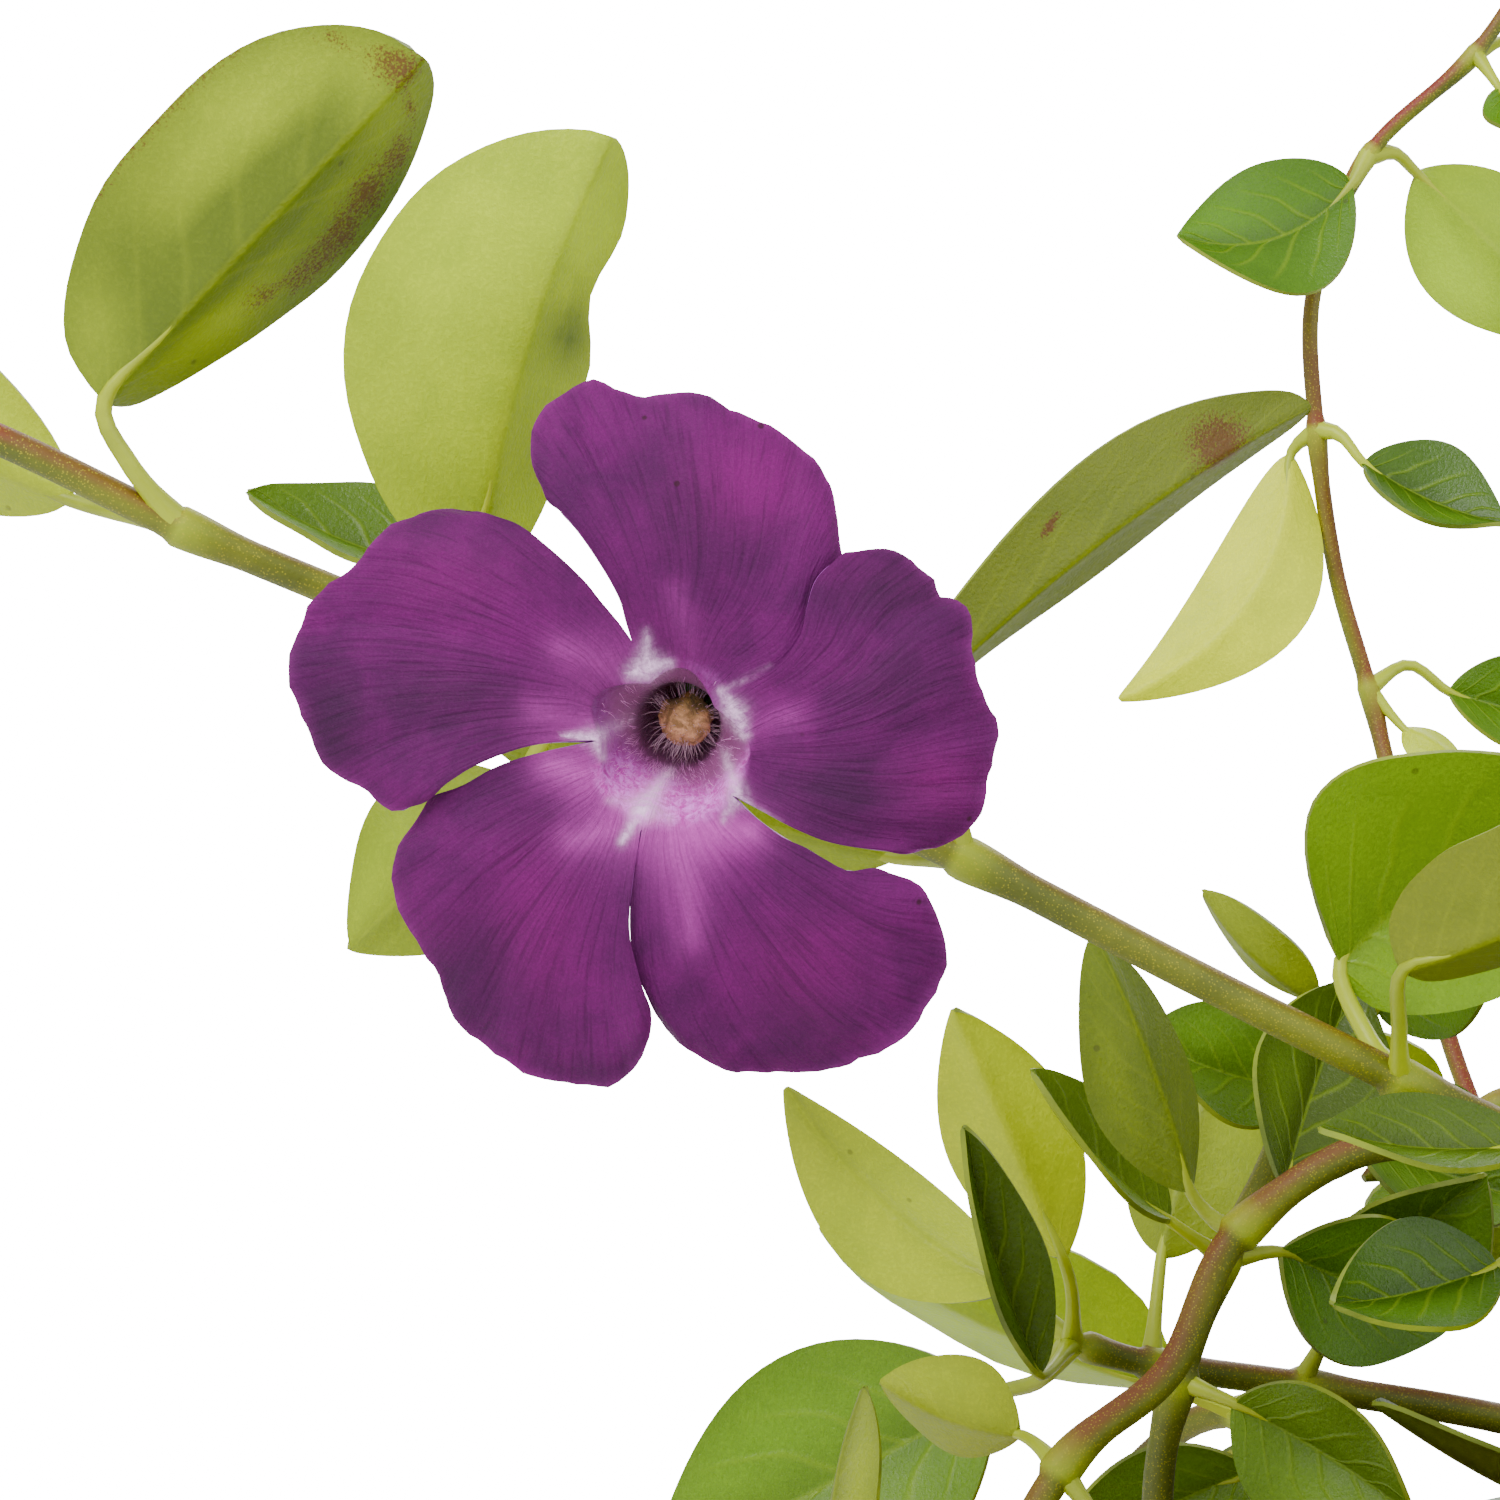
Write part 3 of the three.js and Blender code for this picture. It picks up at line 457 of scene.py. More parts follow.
def make_leaf_face(name, young, old, yellow, vein, vein_share, roughness, shine):
    """One face of the leaves: tone runs from young (0) to old (1) and to shaded (2)."""
    skin = Skin(name, Roughness=roughness, Specular_IOR_Level=shine)
    tone = skin.marked("tone")
    skin.start(tone, tint(*young), tint(*old))
    skin.cover(skin.level(tone, 1.0, 2.0), skin.toned(0.5, 0.58, 0.42))
    skin.cover(skin.marked("warm"), tint(*yellow))
    skin.cover(skin.marked("lush"), skin.toned(0.62, 0.86, 0.12))
    skin.cover(skin.times(skin.mottle(0.3, 0.36), 0.45), skin.toned(0.7, 0.76, 0.68))
    freckles = skin.noise(skin.where, 5.0, 2.0, 0.7)
    skin.cover(skin.level(freckles, 0.46, 0.68, 0.0, 0.55), skin.toned(1.28, 1.24, 1.2))
    midrib = skin.add("Group", {"Leaf": skin.uv()}, "Midrib", node_tree=LEAF_VEINS)
    veins = skin.times(midrib.node.outputs["Veins"], vein_share)
    skin.cover(veins, tint(*vein))
    skin.cover(skin.times(midrib, 0.1 + 0.8 * vein_share), tint(*vein))
    skin.speckle(0.3, 0.07, 0.45, tint(92, 86, 40))
    crumbs = skin.noise(skin.where, 7.5, 3.0, 0.75)
    spread = skin.times_plus(crumbs, 2.2, skin.calc("SUBTRACT", skin.marked("blush"), 1.68))
    skin.cover(skin.level(spread, 0.0, 0.4, 0.0, 0.85), tint(122, 82, 50))
    skin.relief(0.5, 0.0003, skin.times_plus(freckles, 0.35, veins))
    rough = skin.level(freckles, 0.3, 0.7, roughness - 0.06, roughness + 0.1)
    skin.put(rough, skin.shader.inputs["Roughness"])
    return skin.done(0.3)


def make_cloudy(name, first, second, scale, roughness, high, grain):
    """Two colours in cloudy patches on an uneven surface."""
    skin = Skin(name, Roughness=roughness)
    skin.start(skin.mottle(scale, high=high), tint(*first), tint(*second))
    skin.grain(*grain)
    return skin.done()


def make_stem():
    """Olive green with pale dots, paler at the nodes, reddened above where ruddy says so."""
    skin = Skin("stem_skin", Roughness=0.5, Specular_IOR_Level=0.4)
    skin.start(skin.mottle(0.16), tint(128, 132, 62), tint(102, 108, 46))
    high = skin.add("SeparateXYZ", {0: skin.add("NewGeometry", {}, "Normal")}, 2)
    ruddy = skin.marked("ruddy")
    facing = skin.level(skin.times_plus(ruddy, 0.75, high), 0.4, 1.15)
    sunny = skin.times(facing, skin.times_plus(skin.mottle(0.09, 0.3, 0.6), 0.5, 0.5))
    skin.cover(skin.times(sunny, skin.times_plus(ruddy, 0.5, 0.5)), tint(132, 70, 56))
    skin.cover(skin.marked("fresh"), tint(164, 174, 82))
    skin.speckle(7.0, 0.32, 0.5, tint(182, 176, 96))
    skin.grain(5.0, 0.35, 0.00012)
    return skin.done()


def make_petal_face():
    """Velvety purple: greyed and rosy patches, fine radial lines, a pale and white throat, painted
    shade deep in the throat, and painted glints.
    """
    skin = Skin(
        "petal_face", Roughness=0.62, Sheen_Weight=0.1, Sheen_Roughness=0.4,
        Specular_IOR_Level=0.2,
    )
    lines = skin.streaks(26.0, 2.2)
    thin_lines = skin.streaks(70.0, 5.0, 2.0, 0.5, 0.3)
    skin.start(skin.mottle(0.28, 0.3, 0.72), tint(100, 44, 98), tint(120, 48, 114))
    skin.cover(skin.marked("rosy"), tint(136, 46, 124))
    grey = skin.times(skin.marked("murk"), skin.level(lines, 0.25, 0.6, 0.55, 1.0))
    skin.cover(grey, tint(82, 46, 82))
    dark = skin.toned(0.5, 0.42, 0.52)
    skin.cover(skin.level(lines, 0.54, 0.72, 0.0, 0.5), dark)
    skin.cover(skin.level(thin_lines, 0.56, 0.7, 0.0, 0.45), dark)
    pale = skin.times(skin.marked("pale"), skin.level(lines, 0.35, 0.7, 1.1, 0.7))
    skin.cover(pale, tint(196, 120, 186))
    downy = skin.noise(skin.where, 2.6, 4.0, 0.7, 0.6)
    inner = skin.blend(skin.level(downy, 0.36, 0.64), tint(242, 158, 226), tint(188, 104, 176))
    skin.cover(skin.marked("pink"), inner)
    # Painted shade: the throat's wall darkens with depth and round the head.
    skin.cover(skin.marked("deep"), tint(146, 100, 136))
    frayed = skin.times(skin.marked("white"), skin.level(downy, 0.3, 0.66, 0.4, 1.3))
    skin.cover(skin.calc("MINIMUM", frayed, 1.0), tint(255, 200, 244))
    # Painted glints: lighter flecks on the velvet's grain, whose noise also feeds the bump.
    shimmer = skin.noise(skin.where, 7.0, 2.0, 0.7)
    skin.cover(skin.level(shimmer, 0.42, 0.7, 0.0, 0.55), skin.toned(1.3, 1.3, 1.3))
    skin.speckle(0.3, 0.055, 0.7, tint(70, 40, 40))
    grooves = skin.times_plus(lines, -0.8, skin.times(thin_lines, -0.35))
    skin.relief(0.6, 0.0004, skin.times_plus(shimmer, 0.25, grooves))
    return skin.done(0.22)


def make_petal_back():
    skin = Skin("petal_back", Roughness=0.6, Sheen_Weight=0.2)
    lines = skin.streaks(30.0, 2.0)
    skin.start(skin.level(lines, 0.35, 0.65), tint(162, 100, 160), tint(134, 70, 138))
    skin.cover(skin.level(skin.marked("deep"), 0.3, 1.0), tint(176, 178, 120))
    skin.relief(0.4, 0.0003, lines)
    return skin.done(0.22)


def make_felt():
    """Lumpy felt, tan below and olive where shade says so."""
    skin = Skin("head_felt", Roughness=0.75)
    lumps = skin.level(skin.noise(skin.where, 1.6, 4.0, 0.6, 0.5), 0.38, 0.64)
    skin.start(lumps, tint(142, 116, 88), tint(190, 156, 132))
    skin.cover(skin.marked("shade"), skin.blend(lumps, tint(98, 84, 52), tint(142, 120, 76)))
    skin.grain(7.0, 0.8, 0.0003)
    return skin.done()


def make_clay():
    """Fired clay: fine specks, and a pale bloom of lime low down and round the rim."""
    skin = Skin("fired_clay", Roughness=0.86, Specular_IOR_Level=0.25)
    skin.start(skin.mottle(0.035, 0.3), tint(172, 118, 92), tint(156, 102, 78))
    fine = skin.noise(skin.where, 1.1, 5.0, 0.7)
    skin.cover(skin.level(fine, 0.42, 0.68, 0.0, 0.5), skin.toned(1.25, 1.22, 1.2))
    skin.speckle(0.55, 0.16, 0.4, tint(124, 76, 56))
    height = skin.add("SeparateXYZ", {0: skin.where}, 2)
    low = skin.level(height, 0.0, 34.0, 1.0, 0.0)
    rim = skin.level(height, 74.0, 100.0, 0.0, 0.7)
    lime = skin.times(skin.calc("MAXIMUM", low, rim), skin.mottle(0.06, 0.46, 0.66))
    lime = skin.times(lime, skin.level(fine, 0.3, 0.6))
    skin.cover(skin.times(lime, 0.55), tint(222, 204, 186))
    inputs = {"Vector": skin.where, "Scale": 0.09, "Distortion": 1.5, "Detail": 1.0}
    rings = skin.add("TexWave", inputs, "Fac", wave_type="BANDS", bands_direction="Z")
    skin.relief(0.5, 0.0004, skin.times_plus(fine, 0.5, skin.times(rings, 0.35)))
    return skin.done()


LEAF_ABOVE = make_leaf_face(
    "leaf_above", (140, 168, 44), (66, 88, 26), (172, 188, 60), (160, 178, 84), 0.3, 0.32, 0.42
)
LEAF_BELOW = make_leaf_face(
    "leaf_below", (190, 202, 80), (120, 134, 64), (208, 212, 112), (190, 200, 96), 0.07, 0.42, 0.45
)
LEAF_RIM, LEAF_STALK, CALYX_GREEN = (
    make_cloudy(*row, 0.7, (4.0, 0.25, 0.0001))
    for row in (
        ("leaf_rim", (146, 156, 66), (112, 124, 48), 0.2, 0.5),
        ("leaf_stalk", (172, 180, 88), (148, 156, 66), 0.12, 0.45),
        ("calyx_green", (122, 146, 62), (98, 126, 54), 0.5, 0.5),
    )
)
PETAL_RIM, THROAT_HAIR, HEAD_HAIR, SOIL_DARK, SOIL_CRUMB, SOIL_GRIT = (
    make_cloudy(*row[:5], 0.68, (row[3] * 6, 0.6, row[5]))
    for row in (
        ("petal_rim", (168, 112, 172), (134, 78, 142), 1.0, 0.6, 0.00005),
        ("throat_hair", (222, 176, 212), (190, 140, 182), 0.8, 0.5, 0.00001),
        ("head_hair", (196, 172, 184), (168, 144, 158), 1.0, 0.5, 0.00001),
        ("soil_dark", (66, 50, 38), (104, 80, 60), 0.15, 1.0, 0.004),
        ("soil_crumb", (84, 62, 46), (136, 108, 82), 0.3, 1.0, 0.002),
        ("soil_grit", (214, 208, 196), (186, 178, 162), 0.4, 0.9, 0.0004),
    )
)
STEM_SKIN = make_stem()
PETAL_FACE = make_petal_face()
PETAL_BACK = make_petal_back()
HEAD_FELT = make_felt()
FIRED_CLAY = make_clay()


# Shoots listed one by one and shoots by rule

# Places are right, up and back from the main view's middle. A leaf is the point of the route
# that it grows from, its blade's two ends, half its width and its turn; then, where they aren't
# the usual ones, the middle of its stalk, its fold, its bow and its sickle.
SET_SHOOTS = [
    dict(node="flowering_shoot", base=(-12, -6), radius=0.95, ruddy=0.15,
         route=[(46, -30.5, 33), (39.5, -21.3, 30), (35.2, -17.7, 27), (27.4, -13.9, 23),
                (18.4, -9.4, 21), (9.1, -4.6, 20), (0.8, -0.9, 20), (-7.6, 2.4, 20),
                (-15.9, 6, 18), (-24, 9.4, 16), (-31.7, 13.1, 15), (-41.8, 17.2, 16),
                (-48.2, 19.7, 18)],
         leaves=[
            (9, (-27.3, 14.8, 14), (-13.9, 29.3, 13), 7.2, 215, (-26.2, 12.1, 14.5), 30, -0.6, 0.4),
            (9, (-28.6, 10.6, 20), (-45.6, 19.2, 24), 4.9, 150),
            (7, (-11.6, 7.2, 18), (-6, 25.9, 15), 8, 213, None, 30, -0.6, 1.5),
            (7, (-11.6, 7.4, 26), (-21.2, 11, 28), 3.6, 55, (-9.2, 4.6, 24)),
            (7, (-9.8, -1.4, 24), (-16.8, -8.4, 27), 4.8, 185),
            (5, (6, -4.5, 23), (-11, 0.5, 25), 3.3, 165),
            (5, (6.6, 1.8, 19), (23.5, 14.6, 26), 3.5, 226, (8.4, -1.2, 18.5), 26, -0.8, 2.1),
            (3, (24.9, -9.1, 26), (37.6, -4, 24), 6.2, 14, (26.1, -12.2, 25), 16, -0.8, -1.8),
            (3, (27.5, -9.2, 18), (38.6, -4, 14), 4.6, 214, (27.4, -11.8, 20), 32),
            (2, (33, -16.6, 22), (24.1, -15.9, 17), 2.7, 50),
            (2, (31.6, -21.7, 23), (24.6, -23.3, 19), 3.4, 35, (34, -20, 25)),
            (11, (-44.9, 21.3, 16), (-57.4, 30.2, 13), 4.2, 190),
            (11, (-46.4, 15.2, 19), (-60.6, 12.6, 24), 4, 20),
            (12, (-50, 21.8, 17), (-56, 28, 12), 2.2, 160),
            (12, (-50.6, 19.4, 20), (-58.6, 20.2, 24), 2.2, 0),
         ]),
    dict(node="arching_shoot", base=(-22, 8), radius=0.95, ruddy=0.6,
         route=[(35, -20, 44), (27.4, -16.6, 40), (20.7, -20.3, 38), (17.7, -26.2, 36),
                (13.1, -30.4, 34), (8.4, -39.6, 32), (4.6, -50, 31), (3.2, -61, 31)],
         leaves=[
            (2, (18.5, -18.6, 38), (14.4, -7.8, 35), 3.4, 205, (19.7, -19.9, 38.5), 32),
            (2, (22.6, -18.4, 44), (25.6, -9.6, 52), 4.4, 10),
            (4, (11.4, -28.8, 38), (5.6, -26.6, 40), 3.2, 150, (12.2, -29.4, 36)),
            (4, (15.4, -33.4, 32), (23, -38.6, 26), 4, 20),
            (5, (3.6, -36.4, 34), (5, -26.9, 38), 2.4, 120),
            (6, (1.4, -51.4, 34), (-9.6, -57, 40), 4.2, 10),
            (6, (6.6, -53, 28), (12, -63.6, 20), 3.8, 15),
            (7, (2.2, -63.8, 33), (-2, -71.6, 38), 2.6, 10),
            (7, (4.4, -63.8, 29), (8.6, -70.6, 25), 2.4, 0),
         ]),
    dict(node="level_shoot", base=(-26, 24), radius=0.95, ruddy=0.3,
         route=[(35.5, -29.6, 64), (31.6, -28.2, 62), (23.2, -26.8, 60), (16.9, -25.9, 58),
                (13.6, -25, 56)],
         leaves=[
            (4, (13.2, -21.4, 51), (8.6, -10.9, 49), 3.7, 178, (13.6, -23, 53), 24, 0.8),
            (4, (11, -22.8, 58), (1.5, -14.3, 62), 3.6, 200, (12.4, -23.8, 57), 26, 1.2, 0.9),
            (4, (12.3, -26.4, 49), (9.1, -15.9, 45), 2.6, 35, None, 40),
            (4, (10.2, -27.2, 60), (-4.2, -34.8, 62), 7.2, 20, (12.2, -26.6, 58), 12),
            (3, (17.4, -21.4, 61), (20.2, -12, 66), 4.2, 150),
            (2, (25, -23.6, 58), (31, -18, 52), 4.6, 20),
            (2, (21.2, -30.4, 60), (12.4, -34.6, 60), 4.4, 350),
         ]),
    dict(node="short_shoot", base=(-44, 13), radius=0.95, ruddy=0.3,
         route=[(17.6, -38.8, 52), (17.2, -31.6, 51), (18.1, -26.6, 50), (20, -21.5, 50),
                (22.8, -16, 50), (24.4, -12, 50)],
         leaves=[
            (4, (23.2, -14.3, 45), (16.7, -12, 40), 3.6, 40, (23.6, -15, 47), 14),
            (4, (25.4, -16, 54), (33, -19, 58), 4.6, 330),
            (5, (24, -10.6, 50), (19.2, -5.8, 50), 2, 130),
            (5, (26.4, -11, 46), (31.4, -8.4, 36), 3.2, 0),
            (3, (22.4, -21.2, 54), (29.6, -24.4, 58), 4.4, 0),
            (3, (17.8, -19.8, 48), (12, -13.4, 44), 3.2, 60),
            (2, (20.4, -27.6, 48), (28, -32.4, 44), 4.2, 20),
         ]),
    dict(node="tall_shoot", base=(-14, 34), radius=0.6, ruddy=1,
         route=[(31.4, -17, 92), (27.4, -2.6, 98), (26.1, 2.6, 100), (24.7, 7.6, 100),
                (23.9, 13.5, 100), (23.8, 19.4, 100), (26.1, 25.1, 100), (30.6, 29.4, 100),
                (33.8, 34.2, 100)],
         leaves=[
            (6, (25.4, 23.9, 99), (18.1, 21.7, 96), 4.6, 20, None, 14, -0.8, -1.6),
            (6, (28.1, 24.3, 102), (34.6, 17.4, 104), 4.8, 165, (27.2, 25.2, 101), 14),
            (4, (22.8, 12.4, 101), (15.6, 2.1, 98), 3.6, 195, None, 16, -0.8, 3.2),
            (4, (25.9, 12.2, 98), (31.9, 9.6, 96), 3.7, 320, (24.9, 13.3, 99)),
            (2, (29.5, 2.5, 101), (36.4, 1, 102), 3.4, 340, (27.8, 3.6, 101)),
            (2, (27.6, 0.8, 99), (30.2, -1.4, 98), 1.6, 150),
            (7, (31.6, 28, 98), (32.6, 26.2, 96), 1.8, 0),
            (7, (32, 30, 102), (38.6, 30.6, 104), 3.2, 10),
            (8, (33.6, 36, 99), (31.8, 42, 96), 2.2, 160),
            (8, (35, 35.4, 101), (39.8, 38.6, 103), 2.2, 20),
         ]),
]

# Shoots by rule: angle, distance from the axis, reach, rise, and height of the tip
RULE_SHOOTS = [
    (-144, 40, 56, 18, -34),
    (-108, 36, 66, 27, -30),
    (-72, 38, 68, 25, -44),
    (-32, 35, 72, 31, -26),
    (8, 38, 72, 27, -40),
    (50, 36, 70, 32, -28),
    (94, 38, 64, 26, -36),
    (138, 42, 54, 20, -38),
    (-100, 16, 40, 52, 44),
    (-42, 20, 44, 58, 52),
    (22, 22, 40, 66, 62),
    (84, 20, 36, 50, 44),
    (148, 30, 18, 40, 36),
    (-150, 22, 22, 30, 28),
]


# Routes of the stems


def line_point(points, share):
    """A place on the smooth line through the points."""
    last = len(points) - 1
    reach = last * share
    k = math.floor(reach)
    part = reach - k
    if part == 0 and k == last:
        k, part = last - 1, 1.0
    before = points[k - 1] if k > 0 else 2 * points[0] - points[1]
    after = points[k + 2] if k + 2 <= last else 2 * points[last] - points[last - 1]
    start, end = points[k], points[k + 1]
    leaving, coming = 0.5 * (end - before), 0.5 * (after - start)
    return (
        start
        + leaving * part
        + (3 * (end - start) - 2 * leaving - coming) * part**2
        + (2 * (start - end) + leaving + coming) * part**3
    )


class Line:
    """A smooth line through points, read by the length walked along it."""

    def __init__(self, points):
        self.points = points
        count = SPAN_STEPS * (len(points) - 1)
        self.places = np.array([line_point(points, k / count) for k in range(count + 1)])
        steps = np.linalg.norm(np.diff(self.places, axis=0), axis=1)
        self.walked = np.concatenate([[0.0], np.cumsum(steps)])
        self.length = self.walked[-1]

    def at(self, length):
        """The place at a length, and the way the line runs there."""
        last = len(self.places) - 1
        k = min(int(np.searchsorted(self.walked[1:], length)) + 1, last)
        share = (length - self.walked[k - 1]) / (self.walked[k] - self.walked[k - 1])
        start, end = self.places[k - 1], self.places[k]
        return start + (end - start) * min(share, 1.0), unit(end - start)

    def spot(self, number):
        return self.walked[SPAN_STEPS * number]


def route_spot(line, number):
    """How far up its stem a point of the route is."""
    return line.spot(number + len(FOOT_HEIGHTS))


def stem_line(base, route):
    foot = [np.array([*base[:2], SOIL_LEVEL + height]) for height in FOOT_HEIGHTS]
    return Line(foot + route)


def rule_route(azimuth, base, reach, rise, tip):
    out, across = ways(math.radians(azimuth))
    sway = 5 * math.sin(3 * azimuth)

    def at(share, swayed, height):
        place = out * (base + reach * share) + across * swayed
        return np.array([*place[:2], SOIL_LEVEL + height])

    return [
        at(0.14, 0.3 * sway, 0.7 * rise),
        at(0.5, sway, rise),
        at(0.82, 0.4 * sway, rise - 0.4 * (rise - tip)),
        at(1, -0.6 * sway, tip),
    ]


# Where the leaves are

# How far back a listed leaf may stand in its solid, and by how much a leaf by rule may be
# turned, leant and shrunk there: the first that was free was taken
SHIFTS = [0, 1.5, -1.5, 3, -3, 4.5, -4.5, 6, -6, 8]
TRIES = [
    (0, 0, 1), (22, 0, 1), (-22, 0, 1), (0, 18, 1), (0, -18, 1), (40, 8, 0.9), (-40, 8, 0.9),
    (0, 30, 0.8), (65, 0, 0.8), (-65, 0, 0.8), (90, 20, 0.7),
]


# How close, in metres, is the same place
AT_CORNER = 0.00005

# What is drawn for each leaf of the shoots by rule, in this order
LEAF_DRAWS = [
    ("lean", 22, 48), ("droop", -0.5, 0.12), ("size", 0.86, 1.12), ("width", 0.9, 1.12),
    ("roll", -16, 16), ("fold", 12, 28), ("bow", -1.6, 0.4), ("sickle", -0.7, 0.7),
]


def seeded_draws(seed):
    """The same draws in the same order as the solids take them."""
    state, whole = seed, 0xFFFFFFFF

    def draw(low, high):
        nonlocal state
        state = (state + 0x6D2B79F5) & whole
        mixed = ((state ^ (state >> 15)) * (state | 1)) & whole
        mixed ^= (mixed + ((mixed ^ (mixed >> 7)) * (mixed | 61) & whole)) & whole
        return low + (high - low) * ((mixed ^ (mixed >> 14)) / (whole + 1))

    return draw


def set_leaf(line, shift, spot, neck, tip, half, turn, elbow=None, fold=26, bow=-0.8, sickle=0):
    axis = unit(seen(tip) - seen(neck))
    front = np.array([0.0, -1.0, 0.0])
    front = unit(front - axis * (front @ axis))
    back = (0, 0, shift)
    elbow, neck, tip = (p and seen(np.add(p, back)) for p in (elbow, neck, tip))
    root = line.at(route_spot(line, spot))[0]
    face = turned(front, axis, turn)
    return dict(root=root, elbow=elbow, neck=neck, tip=tip, half=half, fold=fold, bow=bow,
                sickle=sickle, face=face)


def rule_leaf(line, spot, draw, turned_by, leant, shrunk):
    point, along = line.at(spot["length"])
    flat = ways(spot["azimuth"])[1]
    across = unit(flat - along * (flat @ along))
    over = np.cross(along, across)
    turn = math.radians(spot["turn"] + turned_by)
    lean = math.radians(draw["lean"] + leant)
    out = across * math.cos(turn) + over * math.sin(turn)
    out = out * (draw["side"] * math.cos(lean)) + along * math.sin(lean)
    blade = unit(out + UP * draw["droop"])
    size = draw["size"] * shrunk
    neck = point + out * (LEAF_STALK_LENGTH * (0.5 + 0.5 * size))
    face = UP * 0.8 + along * 0.45
    face = unit(face - blade * (face @ blade))
    half = LEAF_LENGTH * LEAF_HALF_SHARE * size * draw["width"]
    return dict(root=point, elbow=None, neck=neck, tip=neck + blade * (LEAF_LENGTH * size),
                half=half, fold=draw["fold"], bow=draw["bow"] * size,
                sickle=draw["sickle"] * size, face=turned(face, blade, draw["roll"]))


def rule_spots(line, azimuth, flat, seed):
    """Where a shoot by rule has its leaves, pair by pair, and what is drawn for each."""
    draws = seeded_draws(seed)
    length, pair, found = FIRST_NODE, 0, []
    while length < line.length - 1:
        share = length / line.length
        turn = (pair % 2) * (PAIR_TURN_FLAT if flat else PAIR_TURN) + draws(-14, 14)
        for side in (-1, 1):
            draw = {key: draws(low, high) for key, low, high in LEAF_DRAWS}
            draw["size"] *= 1 - TIP_SHRINK * share**3
            draw["side"] = side
            found.append(({"length": length, "azimuth": azimuth, "turn": turn}, draw))
        length += INTERNODE * draws(0.86, 1.12) * (1 - 0.45 * share)
        pair += 1
    return found


def tree_of(places):
    """Places in a tree that finds the nearest one."""
    places = list(places)
    tree = kdtree.KDTree(len(places))
    for k, place in enumerate(places):
        tree.insert(place, k)
    tree.balance()
    return tree


def tips_of(node):
    """The corners of a solid, to look up which of a leaf's places it took."""
    return tree_of(points_of(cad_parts[node].data))


def first_match(corners, leaves):
    """The first of a leaf's places whose tip is a corner of the solid."""
    return next((leaf for leaf in leaves if corners.find(leaf["tip"] * MM)[2] < AT_CORNER), None)


# One leaf


def eased(value, low, high):
    share = np.clip((value - low) / (high - low), 0, 1)
    return share * share * (3 - 2 * share)


def bell(value, middle, wide):
    return np.exp(-(((value - middle) / wide) ** 2))


def patches(rows, x, y):
    """Soft round patches; those with a strength below zero are taken off."""
    raised, sunk = np.zeros(len(x)), np.zeros(len(x))
    for right, up, wide, high, strength in rows:
        value = strength * np.exp(-(((x - right) / wide) ** 2) - ((y - up) / high) ** 2)
        raised, sunk = np.maximum(raised, value), np.minimum(sunk, value)
    return raised + sunk


def strokes(rows, x, y):
    """Soft strokes: each from one point to another, with a half width and a strength."""
    found = np.zeros(len(x))
    place = np.column_stack([x, y])
    for from_x, from_y, to_x, to_y, wide, strength in rows:
        start = np.array([from_x, from_y])
        way = np.array([to_x, to_y]) - start
        along = np.clip((place - start) @ way / (way @ way), 0, 1)
        off = np.linalg.norm(place - start - along[:, None] * way, axis=1)
        reach = off / (wide * (1.25 - 0.6 * along))
        found = 1 - (1 - found) * (1 - strength * np.exp(-(reach**1.4)))
    return found


def blade_width(share):
    return math.sin(math.pi * min(share, 1.0) ** 0.85) ** 0.8 if 0 < share < 1 else 0.0


def make_blade(name, across, along):
    """A flat leaf blade: a grid from -1 to 1 each way, narrowed row by row to its outline."""
    blade = grid(name, across, along)
    for point in blade.data.vertices:
        point.co.x = math.copysign(abs(point.co.x) ** 1.4, point.co.x)
    for row in range(along + 1):
        level_row = 2 * row / along - 1
        share = row / along
        moved = 0.5 * (1 - math.cos(math.pi * share))
        select_points(blade, lambda co, y=level_row: abs(co.y - y) < 1e-4)
        bpy.ops.transform.resize(
            value=(max(blade_width(moved), 1e-5), 1, 1), center_override=(0, level_row, 0)
        )
        bpy.ops.transform.translate(value=(0, 10 + 2 * moved - 1 - level_row, 0))
    bpy.ops.mesh.select_all(action="SELECT")
    bpy.ops.transform.translate(value=(0, -10, 0))
    bpy.ops.mesh.remove_doubles(threshold=1e-4)
    bpy.ops.object.mode_set(mode="OBJECT")
    return blade


def rounded(widths, share):
    """A smooth outline through widths given at steps that are closer at the two ends."""
    line = Line([np.array([0.0, 0.0])] + [
        np.array([(k + 1) / (len(widths) + 1), width]) for k, width in enumerate(widths)
    ] + [np.array([1.0, 0.0])])
    turn = np.arccos(1 - 2 * np.clip(share, 0, 1)) / math.pi
    return np.interp(turn, line.places[:, 0], line.places[:, 1])


def bezier(start, middle, end, share):
    share = np.asarray(share)[..., None]
    return (1 - share) ** 2 * start + 2 * share * (1 - share) * middle + share**2 * end


def leaf_frame(leaf):
    axis = unit(leaf["tip"] - leaf["neck"])
    face = unit(leaf["face"] - axis * (leaf["face"] @ axis))
    side = np.cross(axis, face)
    middle = (leaf["neck"] + leaf["tip"]) / 2
    middle = middle + face * (2 * leaf["bow"]) + side * (2 * leaf["sickle"])
    return face, side, middle


